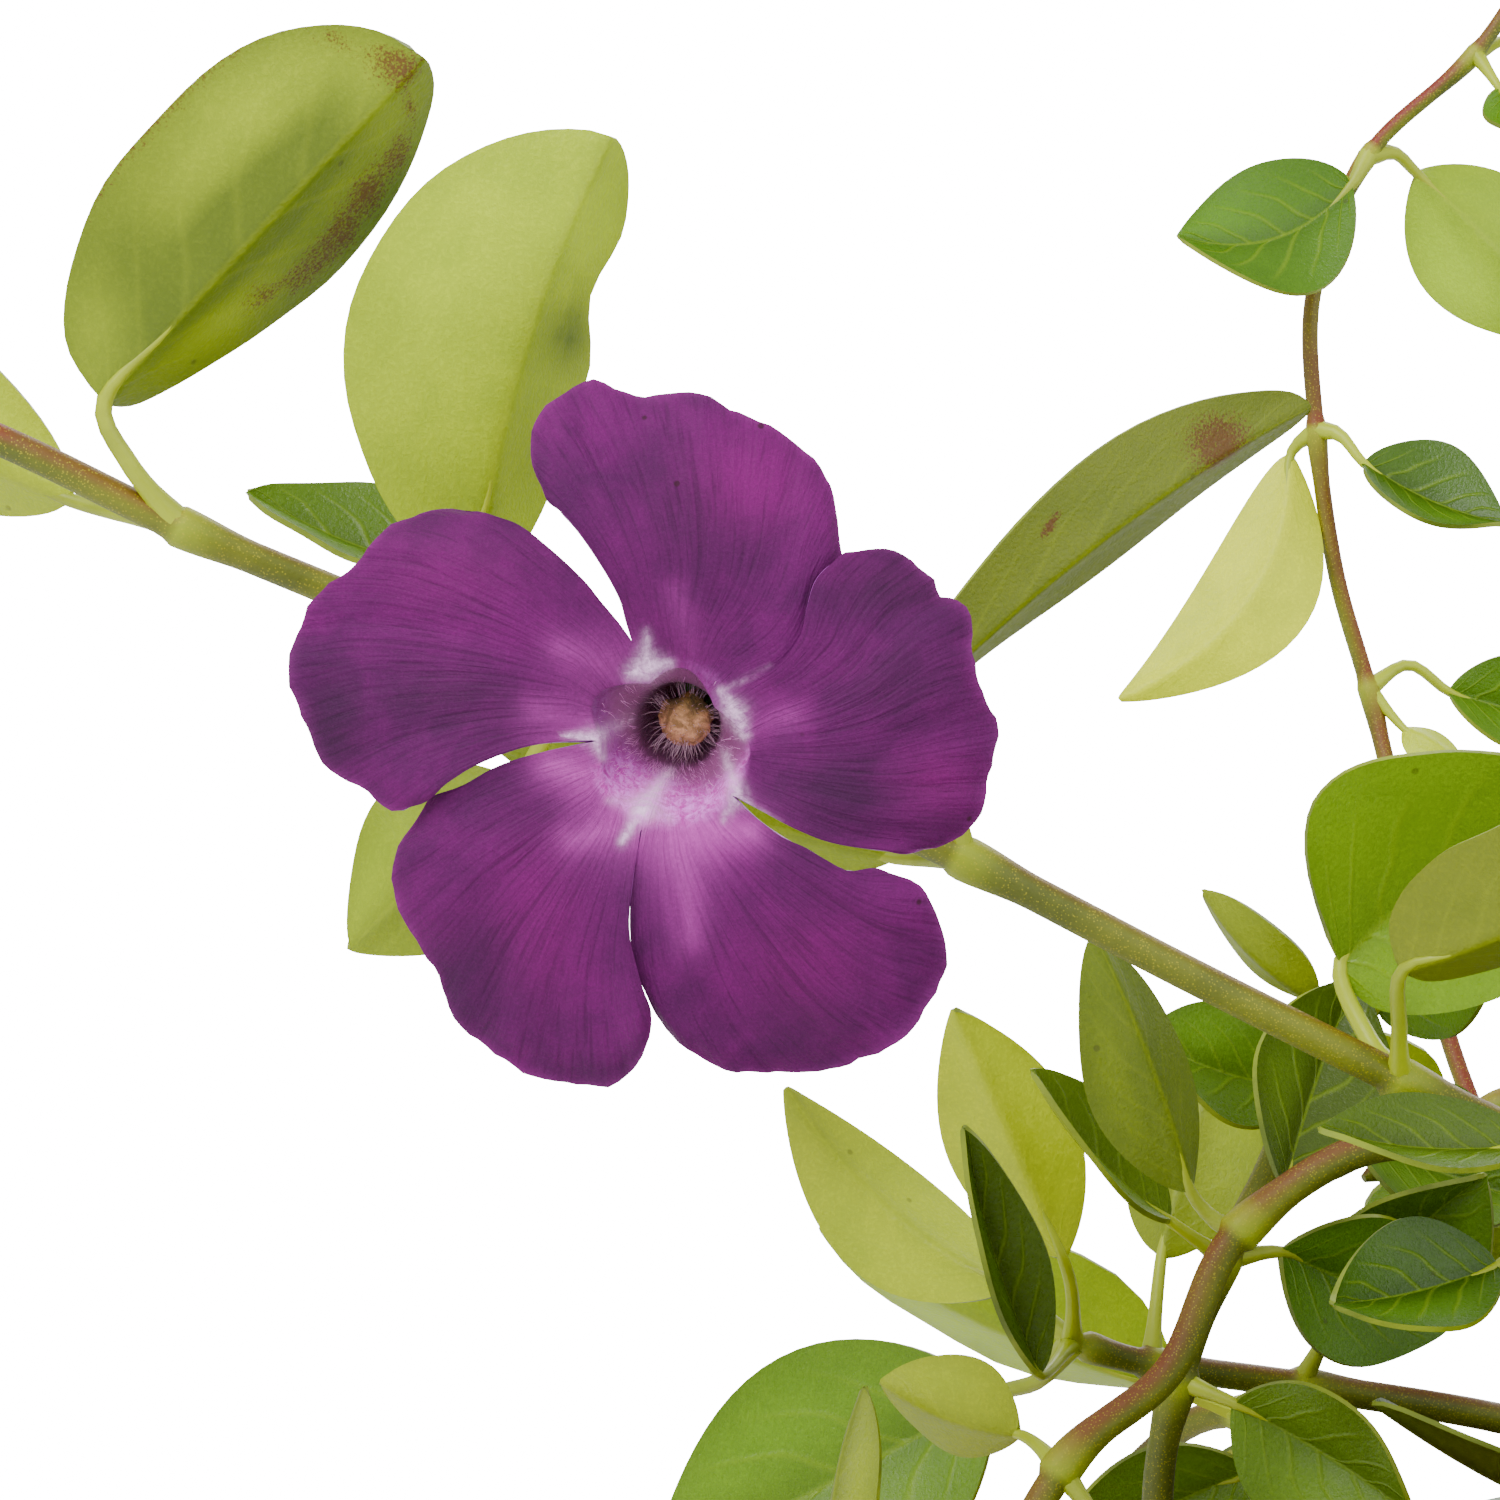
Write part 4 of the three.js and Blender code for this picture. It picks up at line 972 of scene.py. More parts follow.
def lay_blade(master, leaf, look, chance):
    """Copies the flat blade and bends it to its place on the plant."""
    blade = copy_of(master, "blade")
    flat = points_of(blade.data)
    share = (flat[:, 1] + 1) / 2
    wide = np.array([blade_width(s) for s in share])
    across = np.clip(flat[:, 0] / np.maximum(wide, 1e-3), -1, 1)
    face, side, middle = leaf_frame(leaf)
    half = leaf["half"]
    fold = math.radians(leaf["fold"])
    outline = look.get("outline")
    if outline:
        first, second = (rounded(widths, share) for widths in outline)
        flat[:, 0] = across * np.where(across > 0, second, first)
    off = flat[:, 0] * half
    soft = 0.06 * half
    raised = np.sqrt(off**2 + soft**2) - soft
    wave = look.get("wave", 0.035) * half * across**2
    beats = chance.uniform(1.2, 2.2)
    phase = chance.uniform(0, 6.28)
    lift = raised * math.sin(fold) - 0.16 * bell(off, 0, 0.5)
    lift += wave * np.sin(2 * math.pi * beats * share + phase + np.sign(across) * 0.9)
    place = bezier(leaf["neck"], middle, leaf["tip"], share)
    place = place + side * (off * math.cos(fold))[:, None] + face * lift[:, None]
    move_points(blade.data, place)
    # Patches of painted light lower the tone, and those with a strength below zero raise it as
    # painted shade; where none are listed, one patch of painted light lies on one half of the
    # blade. Along the midrib the tone is raised a little as painted shade.
    drawn = (chance.choice((-0.55, 0.55)), chance.uniform(0.4, 0.8), 0.4, 0.35, 0.3)
    light = patches(look.get("pale", [drawn]), across, share)
    mark(blade.data, "tone", look["tone"] + 0.15 * bell(across, 0, 0.2) - light)
    mark(blade.data, "warm", look["warm"])
    mark(blade.data, "lush", max(0.0, look["lush"]))
    mark(blade.data, "blush", patches(look.get("blush", []), across, share))
    return blade


def leaf_rib(leaf, step):
    """The leaf's stalk and the midrib under its blade, as one tapering bar."""
    face, _, middle = leaf_frame(leaf)
    thick = 0.26 + 0.03 * leaf["half"]
    shares = [0.0, 0.2, 0.45, 0.7, 0.95]
    along = bezier(leaf["neck"], middle, leaf["tip"], np.array(shares))
    points = [leaf["root"]]
    if leaf["elbow"] is not None:
        points.append(leaf["elbow"])
    points += [p - face * 0.17 for p in along]
    line = Line(points)
    blade_start = line.spot(len(points) - len(shares))

    def radius_at(length):
        if length < blade_start:
            foot = 0.55 * math.exp(-((length / 1.5) ** 2))
            return thick * (0.85 + 0.25 * (1 - length / blade_start)) + thick * foot
        share = (length - blade_start) / (line.length - blade_start)
        return thick * (0.06 + 0.79 * (1 - share) ** 5)

    return bar_along(line, max(6, round(line.length / step)), radius_at)


# The shoots


def bar_along(line, count, radius_at):
    """Places at even steps along a line, each with the radius there."""
    lengths = [line.length * k / count for k in range(count + 1)]
    return [(line.at(length)[0], radius_at(length)) for length in lengths]


def sheath(off):
    """How much a stem swells and how fresh it is near a node, by the distance beyond it."""
    rise = eased(off, -3.6, 0.2)
    return rise * (1 - eased(off, 0.3, 0.7))


def stem_bar(line, radius, spots, step):
    """A stem's line with its thickness: swollen at the nodes and finer towards the tip."""

    def radius_at(length):
        swollen = 1 + 0.34 * max([float(sheath(length - spot)) for spot in spots] or [0])
        slim = 1 - 0.22 * (length / line.length) ** 2
        end = min(1.0, 0.35 + (line.length - length) / 1.5)
        return 0.93 * radius * swollen * slim * end

    return bar_along(line, max(4, round(line.length / step)), radius_at)


def mark_stem(stem, line, spots, ruddy):
    """Marks how red a stem is and where it is fresh, by each point's nearest place on its line."""
    steps = bar_along(line, round(line.length / 0.4), lambda length: length)
    nearest = tree_of(place for place, _ in steps)
    places = points_of(stem.data) / MM
    at = np.array([steps[nearest.find(place)[1]][1] for place in places])
    fresh = np.max([sheath(at - spot) for spot in spots] or [0 * at], axis=0)
    mark(stem.data, "fresh", 0.65 * fresh**3)
    far_left = eased(-places[:, 0], 99.0, 101.5)
    mark(stem.data, "ruddy", ruddy + (1.0 - ruddy) * far_left)


def build_shoot(node, line, radius, leaves, spots, ruddy, blade_master, fine, extras=()):
    """One shoot: its stem, the bars of its leaves, and the blades given their thickness."""
    step, around = (0.45, 4) if fine else (1.1, 2)
    stem = cable("stem", [stem_bar(line, radius, spots, step)], around, STEM_SKIN)
    mark_stem(stem, line, spots, ruddy)
    chance = random.Random(node)
    bars = [leaf_rib(leaf, 0.7 if fine else 1.8) for leaf, _ in leaves]
    ribs = cable("ribs", bars, 2 if fine else 1, LEAF_STALK)
    blades = join([lay_blade(blade_master, leaf, look, chance) for leaf, look in leaves], "blades")
    thicken(blades, BLADE_THICK, LEAF_ABOVE, LEAF_BELOW, LEAF_RIM)
    shoot = join([blades, stem, ribs, *extras], node + "_plant")
    smooth(shoot, 55)
    finish_piece(shoot, "foliage", node)


# Outlines of leaves with two like halves
EVEN = [0.3, 0.5, 0.72, 0.92, 1.0, 0.96, 0.8, 0.55, 0.3]
FULL = [0.4, 0.65, 0.85, 1.0, 1.0, 0.95, 0.8, 0.55, 0.3]

# Leaves with a shape or colouring of their own, by shoot and number. outline holds the widths of
# the two halves of the blade, as shares of its half width, from neck to tip. pale holds patches of
# painted light, and with a strength below zero patches of painted shade; blush holds reddened
# patches: (across, along, half width, half height, strength), in shares. A tone above 1 is
# painted shade.
LEAF_LOOKS = {
    ("flowering_shoot", 0): dict(
        tone=0.85, warm=0.05, wave=0.02, lush=0.1,
        pale=[(0.62, 0.66, 0.3, 0.26, 0.45), (0.2, 0.88, 0.6, 0.1, 0.3),
              (0.5, 0.08, 0.5, 0.1, 0.2), (-0.5, 0.3, 0.25, 0.12, 0.3),
              (0.22, 0.5, 0.16, 0.3, -0.35), (0.55, 0.28, 0.3, 0.1, -0.2),
              (-0.15, 0.5, 0.1, 0.25, -0.15)],
        outline=(
            [0.25, 0.42, 0.6, 0.82, 0.98, 0.93, 0.78, 0.55, 0.3],
            [0.36, 0.59, 0.76, 0.89, 0.93, 0.91, 0.79, 0.58, 0.32],
        ),
        blush=[(-0.58, 0.38, 0.24, 0.06, 0.92), (-0.72, 0.48, 0.24, 0.08, 1.02),
               (-0.72, 0.59, 0.28, 0.1, 1.06), (-0.66, 0.7, 0.32, 0.1, 1.06),
               (-0.72, 0.81, 0.3, 0.08, 0.98), (-0.5, 0.9, 0.3, 0.03, 0.92),
               (0.15, 0.95, 0.6, 0.07, 0.98), (0.75, 0.9, 0.25, 0.04, 0.82),
               (1.0, 0.55, 0.07, 0.45, 0.78), (0.1, 0.22, 0.15, 0.02, 0.82)],
    ),
    ("flowering_shoot", 1): dict(tone=0.3),
    ("flowering_shoot", 2): dict(
        tone=0.16, warm=0.0, wave=0.02, lush=0.12,
        pale=[(-0.3, 0.8, 0.5, 0.12, 0.3), (0.6, 0.7, 0.3, 0.2, 0.2),
              (-0.62, 0.57, 0.4, 0.09, -0.8), (-0.45, 0.64, 0.2, 0.05, 0.3),
              (-0.5, 0.3, 0.4, 0.12, -0.3), (0.2, 0.15, 0.6, 0.1, -0.2)],
        outline=(
            [0.3, 0.45, 0.62, 0.7, 0.77, 0.5, 0.56, 0.41, 0.2],
            [0.3, 0.55, 0.75, 0.92, 1.0, 0.96, 0.83, 0.6, 0.32],
        ),
    ),
    ("flowering_shoot", 3): dict(tone=0.75),
    ("flowering_shoot", 4): dict(tone=0.75, lush=0.35),
    ("flowering_shoot", 6): dict(
        tone=1.9, lush=0.05, pale=[(0.5, 0.4, 0.3, 0.3, 0.15), (-0.5, 0.85, 0.3, 0.1, 0.2)],
        blush=[(0.2, 0.78, 0.7, 0.09, 1.15), (0.6, 0.4, 0.08, 0.015, 1.6)], outline=(EVEN, EVEN),
    ),
    ("flowering_shoot", 7): dict(
        tone=0.15, lush=0, outline=(
            [0.8, 1.2, 1.3, 1.25, 1.1, 0.95, 0.8, 0.5, 0.25],
            [0.35, 0.6, 0.8, 0.95, 1.0, 0.95, 0.8, 0.5, 0.25],
        ),
    ),
    ("flowering_shoot", 8): dict(tone=2.0, lush=0, outline=(FULL, FULL)),
    ("arching_shoot", 0): dict(tone=1.15),
    ("level_shoot", 0): dict(tone=0.4, warm=0.6, lush=0),
    ("level_shoot", 1): dict(tone=0.2, lush=0, pale=[(0.0, 1.0, 2.0, 0.35, -0.8)]),
    ("level_shoot", 3): dict(tone=0.35, lush=0.2),
    ("tall_shoot", 0): dict(tone=0.55, warm=0.1, lush=0.85),
    ("tall_shoot", 1): dict(tone=0.25, warm=0.1, lush=0.6),
    ("tall_shoot", 2): dict(tone=0.0, warm=1.0, lush=0),
    ("tall_shoot", 3): dict(tone=0.8, warm=0.1, lush=0.7),
    ("tall_shoot", 5): dict(tone=0.1, warm=0.6, lush=0.1),
    ("tall_shoot", 6): dict(tone=0.3, warm=0.1, lush=0.8),
}


def look_for(node, number, chance):
    """The colouring of a leaf: seeded draws, and then what is known of this one."""
    look = {"tone": chance.uniform(0.35, 1.0), "warm": chance.uniform(0.0, 0.35)}
    look["lush"] = random.Random(f"{node} {number} lush").uniform(-0.3, 0.6)
    look.update(LEAF_LOOKS.get((node, number), {}))
    return look


def rule_looks(count, chance):
    return [{"tone": chance.uniform(0.0, 1.2), "warm": chance.uniform(0.0, 0.4) ** 1.3,
             "lush": chance.uniform(-0.4, 0.6)} for _ in range(count)]


blade_fine = make_blade("blade_fine", 14, 30)
blade_plain = make_blade("blade_plain", 8, 14)

# What each shoot is built from
PLANS = {}
for shoot in SET_SHOOTS:
    node = shoot["node"]
    line = stem_line(shoot["base"], [seen(p) for p in shoot["route"]])
    corners = tips_of(node)
    chance = random.Random(node + " looks")
    leaves = []
    for number, row in enumerate(shoot["leaves"]):
        look = look_for(node, number, chance)
        leaf = first_match(corners, [set_leaf(line, shift, *row) for shift in SHIFTS])
        if leaf:
            leaves.append((leaf, look))
    spots = sorted({route_spot(line, row[0]) for row in shoot["leaves"]})
    PLANS[node] = (line, shoot["radius"], leaves, spots, shoot["ruddy"], blade_fine, True)

for number, row in enumerate(RULE_SHOOTS, 1):
    trails = row[4] < 0
    node = f"{'trailing' if trails else 'upright'}_shoot_{number}"
    turn = math.radians(row[0])
    line = stem_line(row[1] * ways(turn)[0], rule_route(*row))
    corners = tips_of(node)
    found = rule_spots(line, turn, trails, FIRST_SEED + number - 1)
    leaves = []
    for (spot, draw), look in zip(found, rule_looks(len(found), random.Random(node + " looks"))):
        leaf = first_match(corners, [rule_leaf(line, spot, draw, *t) for t in TRIES])
        if leaf:
            leaves.append((leaf, look))
    spots = sorted({spot["length"] for spot, _ in found})
    PLANS[node] = (line, STEM_RADIUS, leaves, spots, 0.4, blade_plain, False)


# Blooms. Each petal, as seen from the front in mm from the throat's middle: the middle of its part
# of the mouth, its free left edge, its rim, and its free right edge. Its left edge starts where
# the slit before it ends, and its right edge where the next slit does.
PETALS = [
    dict(
        mouth=(0.75, 2.9),
        left=[(-1.59, 3.95), (-1.85, 4.8), (-2.1, 5.7), (-2.8, 7.0), (-3.9, 8.6), (-5.2, 10.0)],
        rim=[(-5.2, 10.0), (-5.8, 11.7), (-5.6, 13.5), (-4.2, 14.6), (-3.1, 15.0), (-2.0, 14.5),
             (-0.7, 14.3), (1.3, 14.4), (2.8, 13.6), (4.5, 12.8), (6.0, 11.7), (6.8, 10.1),
             (7.1, 8.2), (7.3, 7.2)],
        right=[(3.2, 2.1), (4.9, 2.7), (5.8, 3.9), (6.2, 5.2), (6.9, 6.5), (7.3, 7.2)],
    ),
    dict(
        mouth=(3.5, -0.5),
        left=[(3.2, 2.1), (4.5, 2.9), (5.45, 4.1), (5.75, 5.3), (6.2, 6.6), (7.4, 7.7)],
        rim=[(7.4, 7.7), (9.5, 7.7), (11.0, 6.6), (11.3, 5.8), (12.1, 5.6), (12.7, 5.0),
             (12.7, 3.1), (13.4, 1.3), (13.8, 0.5), (13.5, -1.4), (13.1, -3.2), (11.8, -4.5),
             (10.0, -5.0)],
        right=[(2.68, -2.56), (3.7, -3.1), (5.4, -4.0), (7.1, -4.6), (10.0, -5.0)],
    ),
    dict(
        mouth=(0.9, -3.6),
        left=[(2.68, -2.56), (3.8, -3.6), (5.4, -4.7), (6.9, -5.6), (8.8, -5.7)],
        rim=[(8.8, -5.7), (10.5, -6.4), (11.4, -8.0), (11.6, -9.9), (10.9, -11.5), (9.7, -12.9),
             (8.0, -13.8), (6.2, -14.2), (4.3, -14.3), (2.5, -14.1), (0.8, -13.3), (-0.4, -11.9)],
        right=[(-1.2, -4.1), (-1.55, -6.1), (-1.65, -8.2), (-1.27, -10.1), (-0.4, -11.9)],
    ),
    dict(
        mouth=(-2.6, -2.65),
        left=[(-1.2, -4.1), (-1.5, -6.1), (-1.62, -8.2), (-1.2, -10.1), (-0.7, -11.8)],
        rim=[(-0.8, -11.8), (-1.2, -13.6), (-2.6, -14.8), (-4.5, -14.7), (-6.3, -14.2),
             (-7.8, -13.2), (-9.1, -11.9), (-9.8, -10.2), (-10.7, -8.5), (-11.6, -6.9),
             (-11.5, -5.1), (-10.1, -2.7)],
        right=[(-3.16, -0.25), (-5.5, -0.75), (-7.2, -1.3), (-8.65, -2.1), (-10.1, -2.7)],
    ),
    dict(
        mouth=(-3.2, 1.75),
        left=[(-3.16, -0.25), (-5.2, -0.35), (-6.7, -0.7), (-8.2, -1.3), (-9.3, -2.0),
              (-10.4, -2.8)],
        rim=[(-10.4, -2.8), (-11.6, -3.2), (-12.9, -2.3), (-14.5, -1.3), (-15.4, 0.3),
             (-16.2, 2.9), (-15.7, 4.6), (-14.7, 6.2), (-13.2, 7.3), (-11.9, 8.7),
             (-10.3, 9.4), (-8.3, 9.4)],
        right=[(-1.59, 3.95), (-2.2, 4.8), (-2.95, 5.7), (-3.6, 6.5), (-5.0, 7.8), (-6.5, 8.9),
               (-8.3, 9.4)],
    ),
]

# Where the mouth's edge crosses each joint between petals, from the one at petal 0's left
JOINTS = [(-0.9, 2.3), (2.0, 1.25), (2.6, -1.9), (-0.95, -3.15), (-3.05, -0.2)]

PETAL_ROWS = 38
JOINED_ROWS = 8
JOINED_SHARE = 0.13
TUBE_ROWS = 16
PETAL_COLUMNS = 46
TUBE_LEAN = unit(np.array([0.13, 0.2, -0.97]))

HEAD_PLACE = TUBE_LEAN * 2.1 + np.array([0.4, 0.25, 0.0])
HEAD_RADIUS = 1.14
HEAD_SHAPE = np.array([1.0, 1.0, 0.84])
THROAT_HAIRS = 450
HEAD_HAIRS = 230
HAIR_RADIUS = 0.009

# Depth in the tube and how wide it is there
TUBE_DEPTHS = [0.0, 0.5, 1.0, 1.6, 2.4, 3.4, 6.0, 8.2, 10.5]
TUBE_WIDTHS = [3.0, 2.8, 2.5, 2.2, 1.95, 1.8, 1.4, 1.0, 1.0]

# Patches on the petals: (right, up, half width, half height, strength), in mm from the throat
GREYED = [
    (-9.5, 1.4, 4.2, 1.5, 0.6), (-14.2, 0.6, 1.8, 2.2, 0.9), (9.4, 6.2, 2.6, 1.3, 0.8),
    (7.4, -2.4, 3.0, 1.7, 0.75), (-8.4, -9.4, 2.0, 2.6, 0.45), (0.4, 9.0, 2.4, 2.6, 0.3),
    (5.0, -12.4, 3.0, 1.2, 0.35), (9.6, 2.4, 2.8, 1.8, 0.5),
]
ROSY = [
    (-9.4, 6.6, 3.4, 1.7, 0.4), (11.2, -2.0, 1.8, 1.5, 0.65), (3.4, 10.6, 2.6, 2.2, 0.6),
    (6.0, -9.6, 2.8, 2.4, 0.5), (-5.4, -8.0, 2.0, 3.6, 0.45),
]

# Strokes of white and of a paler purple round the mouth
WHITE = [
    (-1.05, 3.0, -1.0, 4.3, 0.24, 0.45), (-1.0, 2.9, -1.7, 2.7, 0.32, 0.8),
    (-1.0, 2.9, 0.0, 3.1, 0.26, 0.65), (2.8, 1.0, 2.2, 1.85, 0.22, 0.55),
    (2.75, 1.0, 3.2, 0.0, 0.28, 0.9), (2.4, 1.95, 4.3, 2.9, 0.08, 0.2),
    (-3.2, -0.15, -4.4, -0.05, 0.17, 0.75), (-3.2, -0.2, -2.95, -1.0, 0.2, 0.5),
    (-3.0, 0.1, -1.3, 0.95, 0.28, 0.25), (-1.12, -3.1, -2.0, -4.5, 0.24, 0.65),
    (-1.12, -3.1, 0.3, -1.1, 0.28, 0.65), (-1.2, -3.0, -2.6, -2.8, 0.26, 0.25),
    (-0.9, -3.1, 0.0, -3.6, 0.3, 0.3), (2.85, -2.45, 2.4, -0.7, 0.22, 0.55),
    (2.85, -2.55, 2.3, -3.6, 0.22, 0.4), (2.8, -2.6, 4.6, -3.75, 0.13, 0.4),
]
PALE = [
    (-3.4, 0.6, -5.6, 1.0, 1.1, 0.3), (-2.6, -2.0, -5.0, -1.2, 1.2, 0.6),
    (-2.6, 2.9, -4.6, 3.6, 1.1, 0.3), (0.6, -3.9, 3.4, -4.0, 1.2, 0.6),
    (-1.6, -3.8, -4.2, -4.4, 0.9, 0.4), (0.6, -4.6, 0.9, -8.5, 1.0, 0.3),
    (3.3, 0.6, 5.2, 0.8, 0.9, 0.25), (1.0, 3.6, 0.2, 6.0, 0.8, 0.15),
]

# How much of the throat's wall shows: the most at its lower left
OPEN_SIDE = math.radians(-130)


def walk(points, shares):
    line = Line([np.array(p, dtype=float) for p in points])
    return np.array([line.at(line.length * s)[0] for s in shares])


def petal_lift(radius, share):
    along = np.maximum(0, radius - THROAT_RADIUS) / 12
    crown = 1.6 * np.sin(math.pi * np.minimum(along, 1) ** 0.8)
    return crown - 0.9 * along + 1.1 * (share - 0.5) * along


def edge_lines(petal, number):
    """Both edges of a petal, row by row from the mouth out: joined to its neighbours, then free."""
    found = []
    for side, joint in (("left", number), ("right", (number + 1) % len(JOINTS))):
        joined = np.linspace(JOINTS[joint], petal[side][0], JOINED_ROWS + 1)
        free = walk(petal[side], np.linspace(0, 1, PETAL_ROWS + 1))
        found.append(np.vstack([joined, free[1:]]))
    return found


def build_petal(petal, number):
    """One petal with its fifth of the tube, as a sheet with its face to the front."""
    outer_rows = JOINED_ROWS + PETAL_ROWS
    rows = TUBE_ROWS + outer_rows
    sheet = grid(f"petal_{number}", PETAL_COLUMNS, rows)
    flat = points_of(sheet.data)
    across = (flat[:, 0] + 1) / 2
    column = np.round(across * PETAL_COLUMNS).astype(int)
    row = np.round((flat[:, 1] + 1) / 2 * rows).astype(int)
    in_tube = row < TUBE_ROWS
    out_row = np.clip(row - TUBE_ROWS, 0, outer_rows)
    stops = [0, JOINED_ROWS, outer_rows]
    out = np.interp(out_row, stops, [0, JOINED_SHARE, 1])

    left_line, right_line = edge_lines(petal, number)
    a, s = across[:, None], out[:, None]
    top = 2 * np.array(petal["mouth"]) - 0.5 * (left_line[0] + right_line[0])
    mouth = bezier(left_line[0], top, right_line[0], across)
    rim = walk(petal["rim"], np.linspace(0, 1, PETAL_COLUMNS + 1))[column]
    corners = (1 - a) * ((1 - s) * left_line[0] + s * left_line[-1])
    corners = corners + a * ((1 - s) * right_line[0] + s * right_line[-1])
    spread = (1 - s) * mouth + s * rim - corners
    spread = spread + (1 - a) * left_line[out_row] + a * right_line[out_row]
    radius = np.linalg.norm(spread, axis=1)
    angle = np.arctan2(mouth[:, 1], mouth[:, 0])

    chance = random.Random(number)
    phases = [chance.uniform(0, 6.28) for _ in range(4)]

    def wave(beats, phase, lean=0):
        return np.sin(2 * math.pi * beats * across + phases[phase] + lean * out)

    grown = eased(radius, 4.0, 13.0)
    edge = np.minimum(across, 1 - across)
    edge_mm = edge * 1.2 * np.maximum(radius, 2.4)
    bulge = np.sin(math.pi * across)
    lapped = 0.5 + (0.5 - across) * eased(radius, 3.8, 6.5)
    lift = petal_lift(radius, lapped)
    lift += 0.4 * bell(edge_mm, 0, 0.7) * bell(radius, 3.1, 1.1)
    lift -= 0.25 * bulge * bell(radius, 3.2, 1.2)
    inner = 1 - bell(edge, 0, 0.05)
    lift += inner * grown * 0.14 * wave(2.7, 0)
    lift += inner * grown * 0.05 * wave(6.3, 1, 2)
    lift += inner * grown**2 * 0.32 * wave(1.1, 2)
    lift += 0.07 * eased(out, 0.8, 1) * wave(9, 3)
    lift -= 0.3 * bell(out, 1, 0.07)
    frill = 1 + 0.004 * eased(out, 0.9, 1) * wave(5.3, 1)
    frill += 0.004 * eased(out, 0.93, 1) * wave(2.2, 2) * wave(14.5, 0)
    places = np.column_stack([spread * frill[:, None], lift])
    edge_lift = lift[row == TUBE_ROWS][np.argsort(column[row == TUBE_ROWS])]

    depth = TUBE_LENGTH * np.maximum(0, 1 - row / TUBE_ROWS) ** 1.6
    open_share = 0.5 + 0.5 * np.cos(angle - OPEN_SIDE)
    for k in np.nonzero(in_tube)[0]:
        share = min(depth[k] / 3, 1)
        axis = unit(np.array([0, 0, -1]) * (1 - share) + TUBE_LEAN * share)
        outward = ways(angle[k])[0]
        outward = unit(outward - axis * (outward @ axis))
        ring = outward * np.interp(depth[k], TUBE_DEPTHS, TUBE_WIDTHS)
        edge_place = np.array([*mouth[k], edge_lift[column[k]]])
        kept = math.exp(-((depth[k] / (0.35 + 0.85 * open_share[k])) ** 1.25))
        places[k] = TUBE_LEAN * depth[k] + ring * (1 - kept) + edge_place * kept

    move_points(sheet.data, places)
    x, y = places[:, 0], places[:, 1]
    free = ~in_tube
    shown = free | (depth < 2.6)
    # deep is painted shade on the throat's wall: darker with depth, sooner where less of the wall
    # shows, and round the head. On the petals' back the same mark gives the tube's own greenish
    # foot.
    dark_from = 1.6 * open_share**2.5 - 0.25
    dark = eased((depth - dark_from) / (0.5 + 0.9 * open_share), 0, 1)
    inward = 1 - np.hypot(x - HEAD_PLACE[0], y - HEAD_PLACE[1]) / 2.8
    dark = np.maximum(dark, eased(inward, 0.02, 0.45))
    low = eased(-y + 0.2 * x, -0.5, 2.5)
    mark(sheet.data, "white", strokes(WHITE, x, y) * shown)
    mark(sheet.data, "deep", dark * in_tube)
    reach = 0.5 * eased(np.cos(angle - math.radians(-95)), 0.1, 0.9)
    inside = eased(-radius, -3.7 - reach, -3.0 - reach)
    mark(sheet.data, "pink", np.where(in_tube, 0.15 + 0.85 * low, (0.1 + 0.75 * low) * inside))
    mark(sheet.data, "pale", np.maximum(strokes(PALE, x, y), 0.1 * bell(out, 1, 0.02)) * free)
    mark(sheet.data, "murk", patches(GREYED, x, y) * free)
    mark(sheet.data, "rosy", patches(ROSY, x, y) * free)
    return sheet


def build_corolla_sheet():
    """The five petals joined at the tube, with their thickness, in the bloom's own place."""
    corolla = join([build_petal(petal, k) for k, petal in enumerate(PETALS)], "corolla")
    select_points(corolla, lambda co: math.hypot(co.x, co.y) < 4.5 * MM)
    bpy.ops.mesh.remove_doubles(threshold=0.015 * MM)
    bpy.ops.object.mode_set(mode="OBJECT")
    thicken(corolla, PETAL_THICK, PETAL_FACE, PETAL_BACK, PETAL_RIM)
    return corolla


def hair(foot, way, length, bend, chance):
    """A tapering hair from its foot, bending a little on its way."""
    aside = unit(np.cross(way, np.array([chance.gauss(0, 1) for _ in range(3)])))
    line = []
    for share in (0.0, 0.3, 0.65, 1.0):
        place = foot + way * (length * share) + aside * (bend * length * share**2)
        line.append((place, HAIR_RADIUS * (1 - 0.75 * share)))
    return line


def throat_hairs(count, chance):
    """Short pale hairs on the lower part of the throat's wall, lying towards its depth."""
    lines = []
    for _ in range(count):
        depth = 2.2 * chance.random()
        angle = math.radians(chance.gauss(-115, 50))
        width = float(np.interp(depth, TUBE_DEPTHS, TUBE_WIDTHS)) + 0.25 * math.exp(-depth) - 0.06
        outward = ways(angle)[0]
        outward = unit(outward - TUBE_LEAN * (outward @ TUBE_LEAN))
        foot = TUBE_LEAN * depth + outward * width
        way = unit(-outward - TUBE_LEAN * chance.uniform(0.2, 0.9))
        lines.append(hair(foot, way, chance.uniform(0.18, 0.5), 0.35, chance))
    return lines


def build_pistil():
    """The style and its lumpy felted head."""
    let_go()
    bpy.ops.mesh.primitive_uv_sphere_add(segments=40, ring_count=24, radius=1)
    head = named("head")
    ball = points_of(head.data)
    x, y, z = ball.T
    lumpy = 1 + 0.07 * np.sin(5 * np.arctan2(y, x) + 0.6) * (1 - z**2)
    lumpy += 0.09 * np.sin(5 * x + 2 * y + 1) * np.cos(4 * y - 3 * z)
    lumpy += 0.04 * np.sin(13 * x - 7 * y) * np.cos(11 * y + 5 * x)
    lumpy -= 0.16 * bell(z, -0.55, 0.16)
    mark(head.data, "shade", eased(y + 0.25 * x, 0.0, 0.8))
    ball = ball * lumpy[:, None] * HEAD_SHAPE * HEAD_RADIUS + HEAD_PLACE
    move_points(head.data, ball)
    head.data.materials.append(HEAD_FELT)
    foot = TUBE_LEAN * (TUBE_LENGTH + 0.3)
    bar = [(foot + (HEAD_PLACE - foot) * s, 0.36 + 0.12 * s**6) for s in np.linspace(0, 1, 12)]
    style = cable("style", [bar], 3, HEAD_FELT)
    return join([head, style], "pistil")


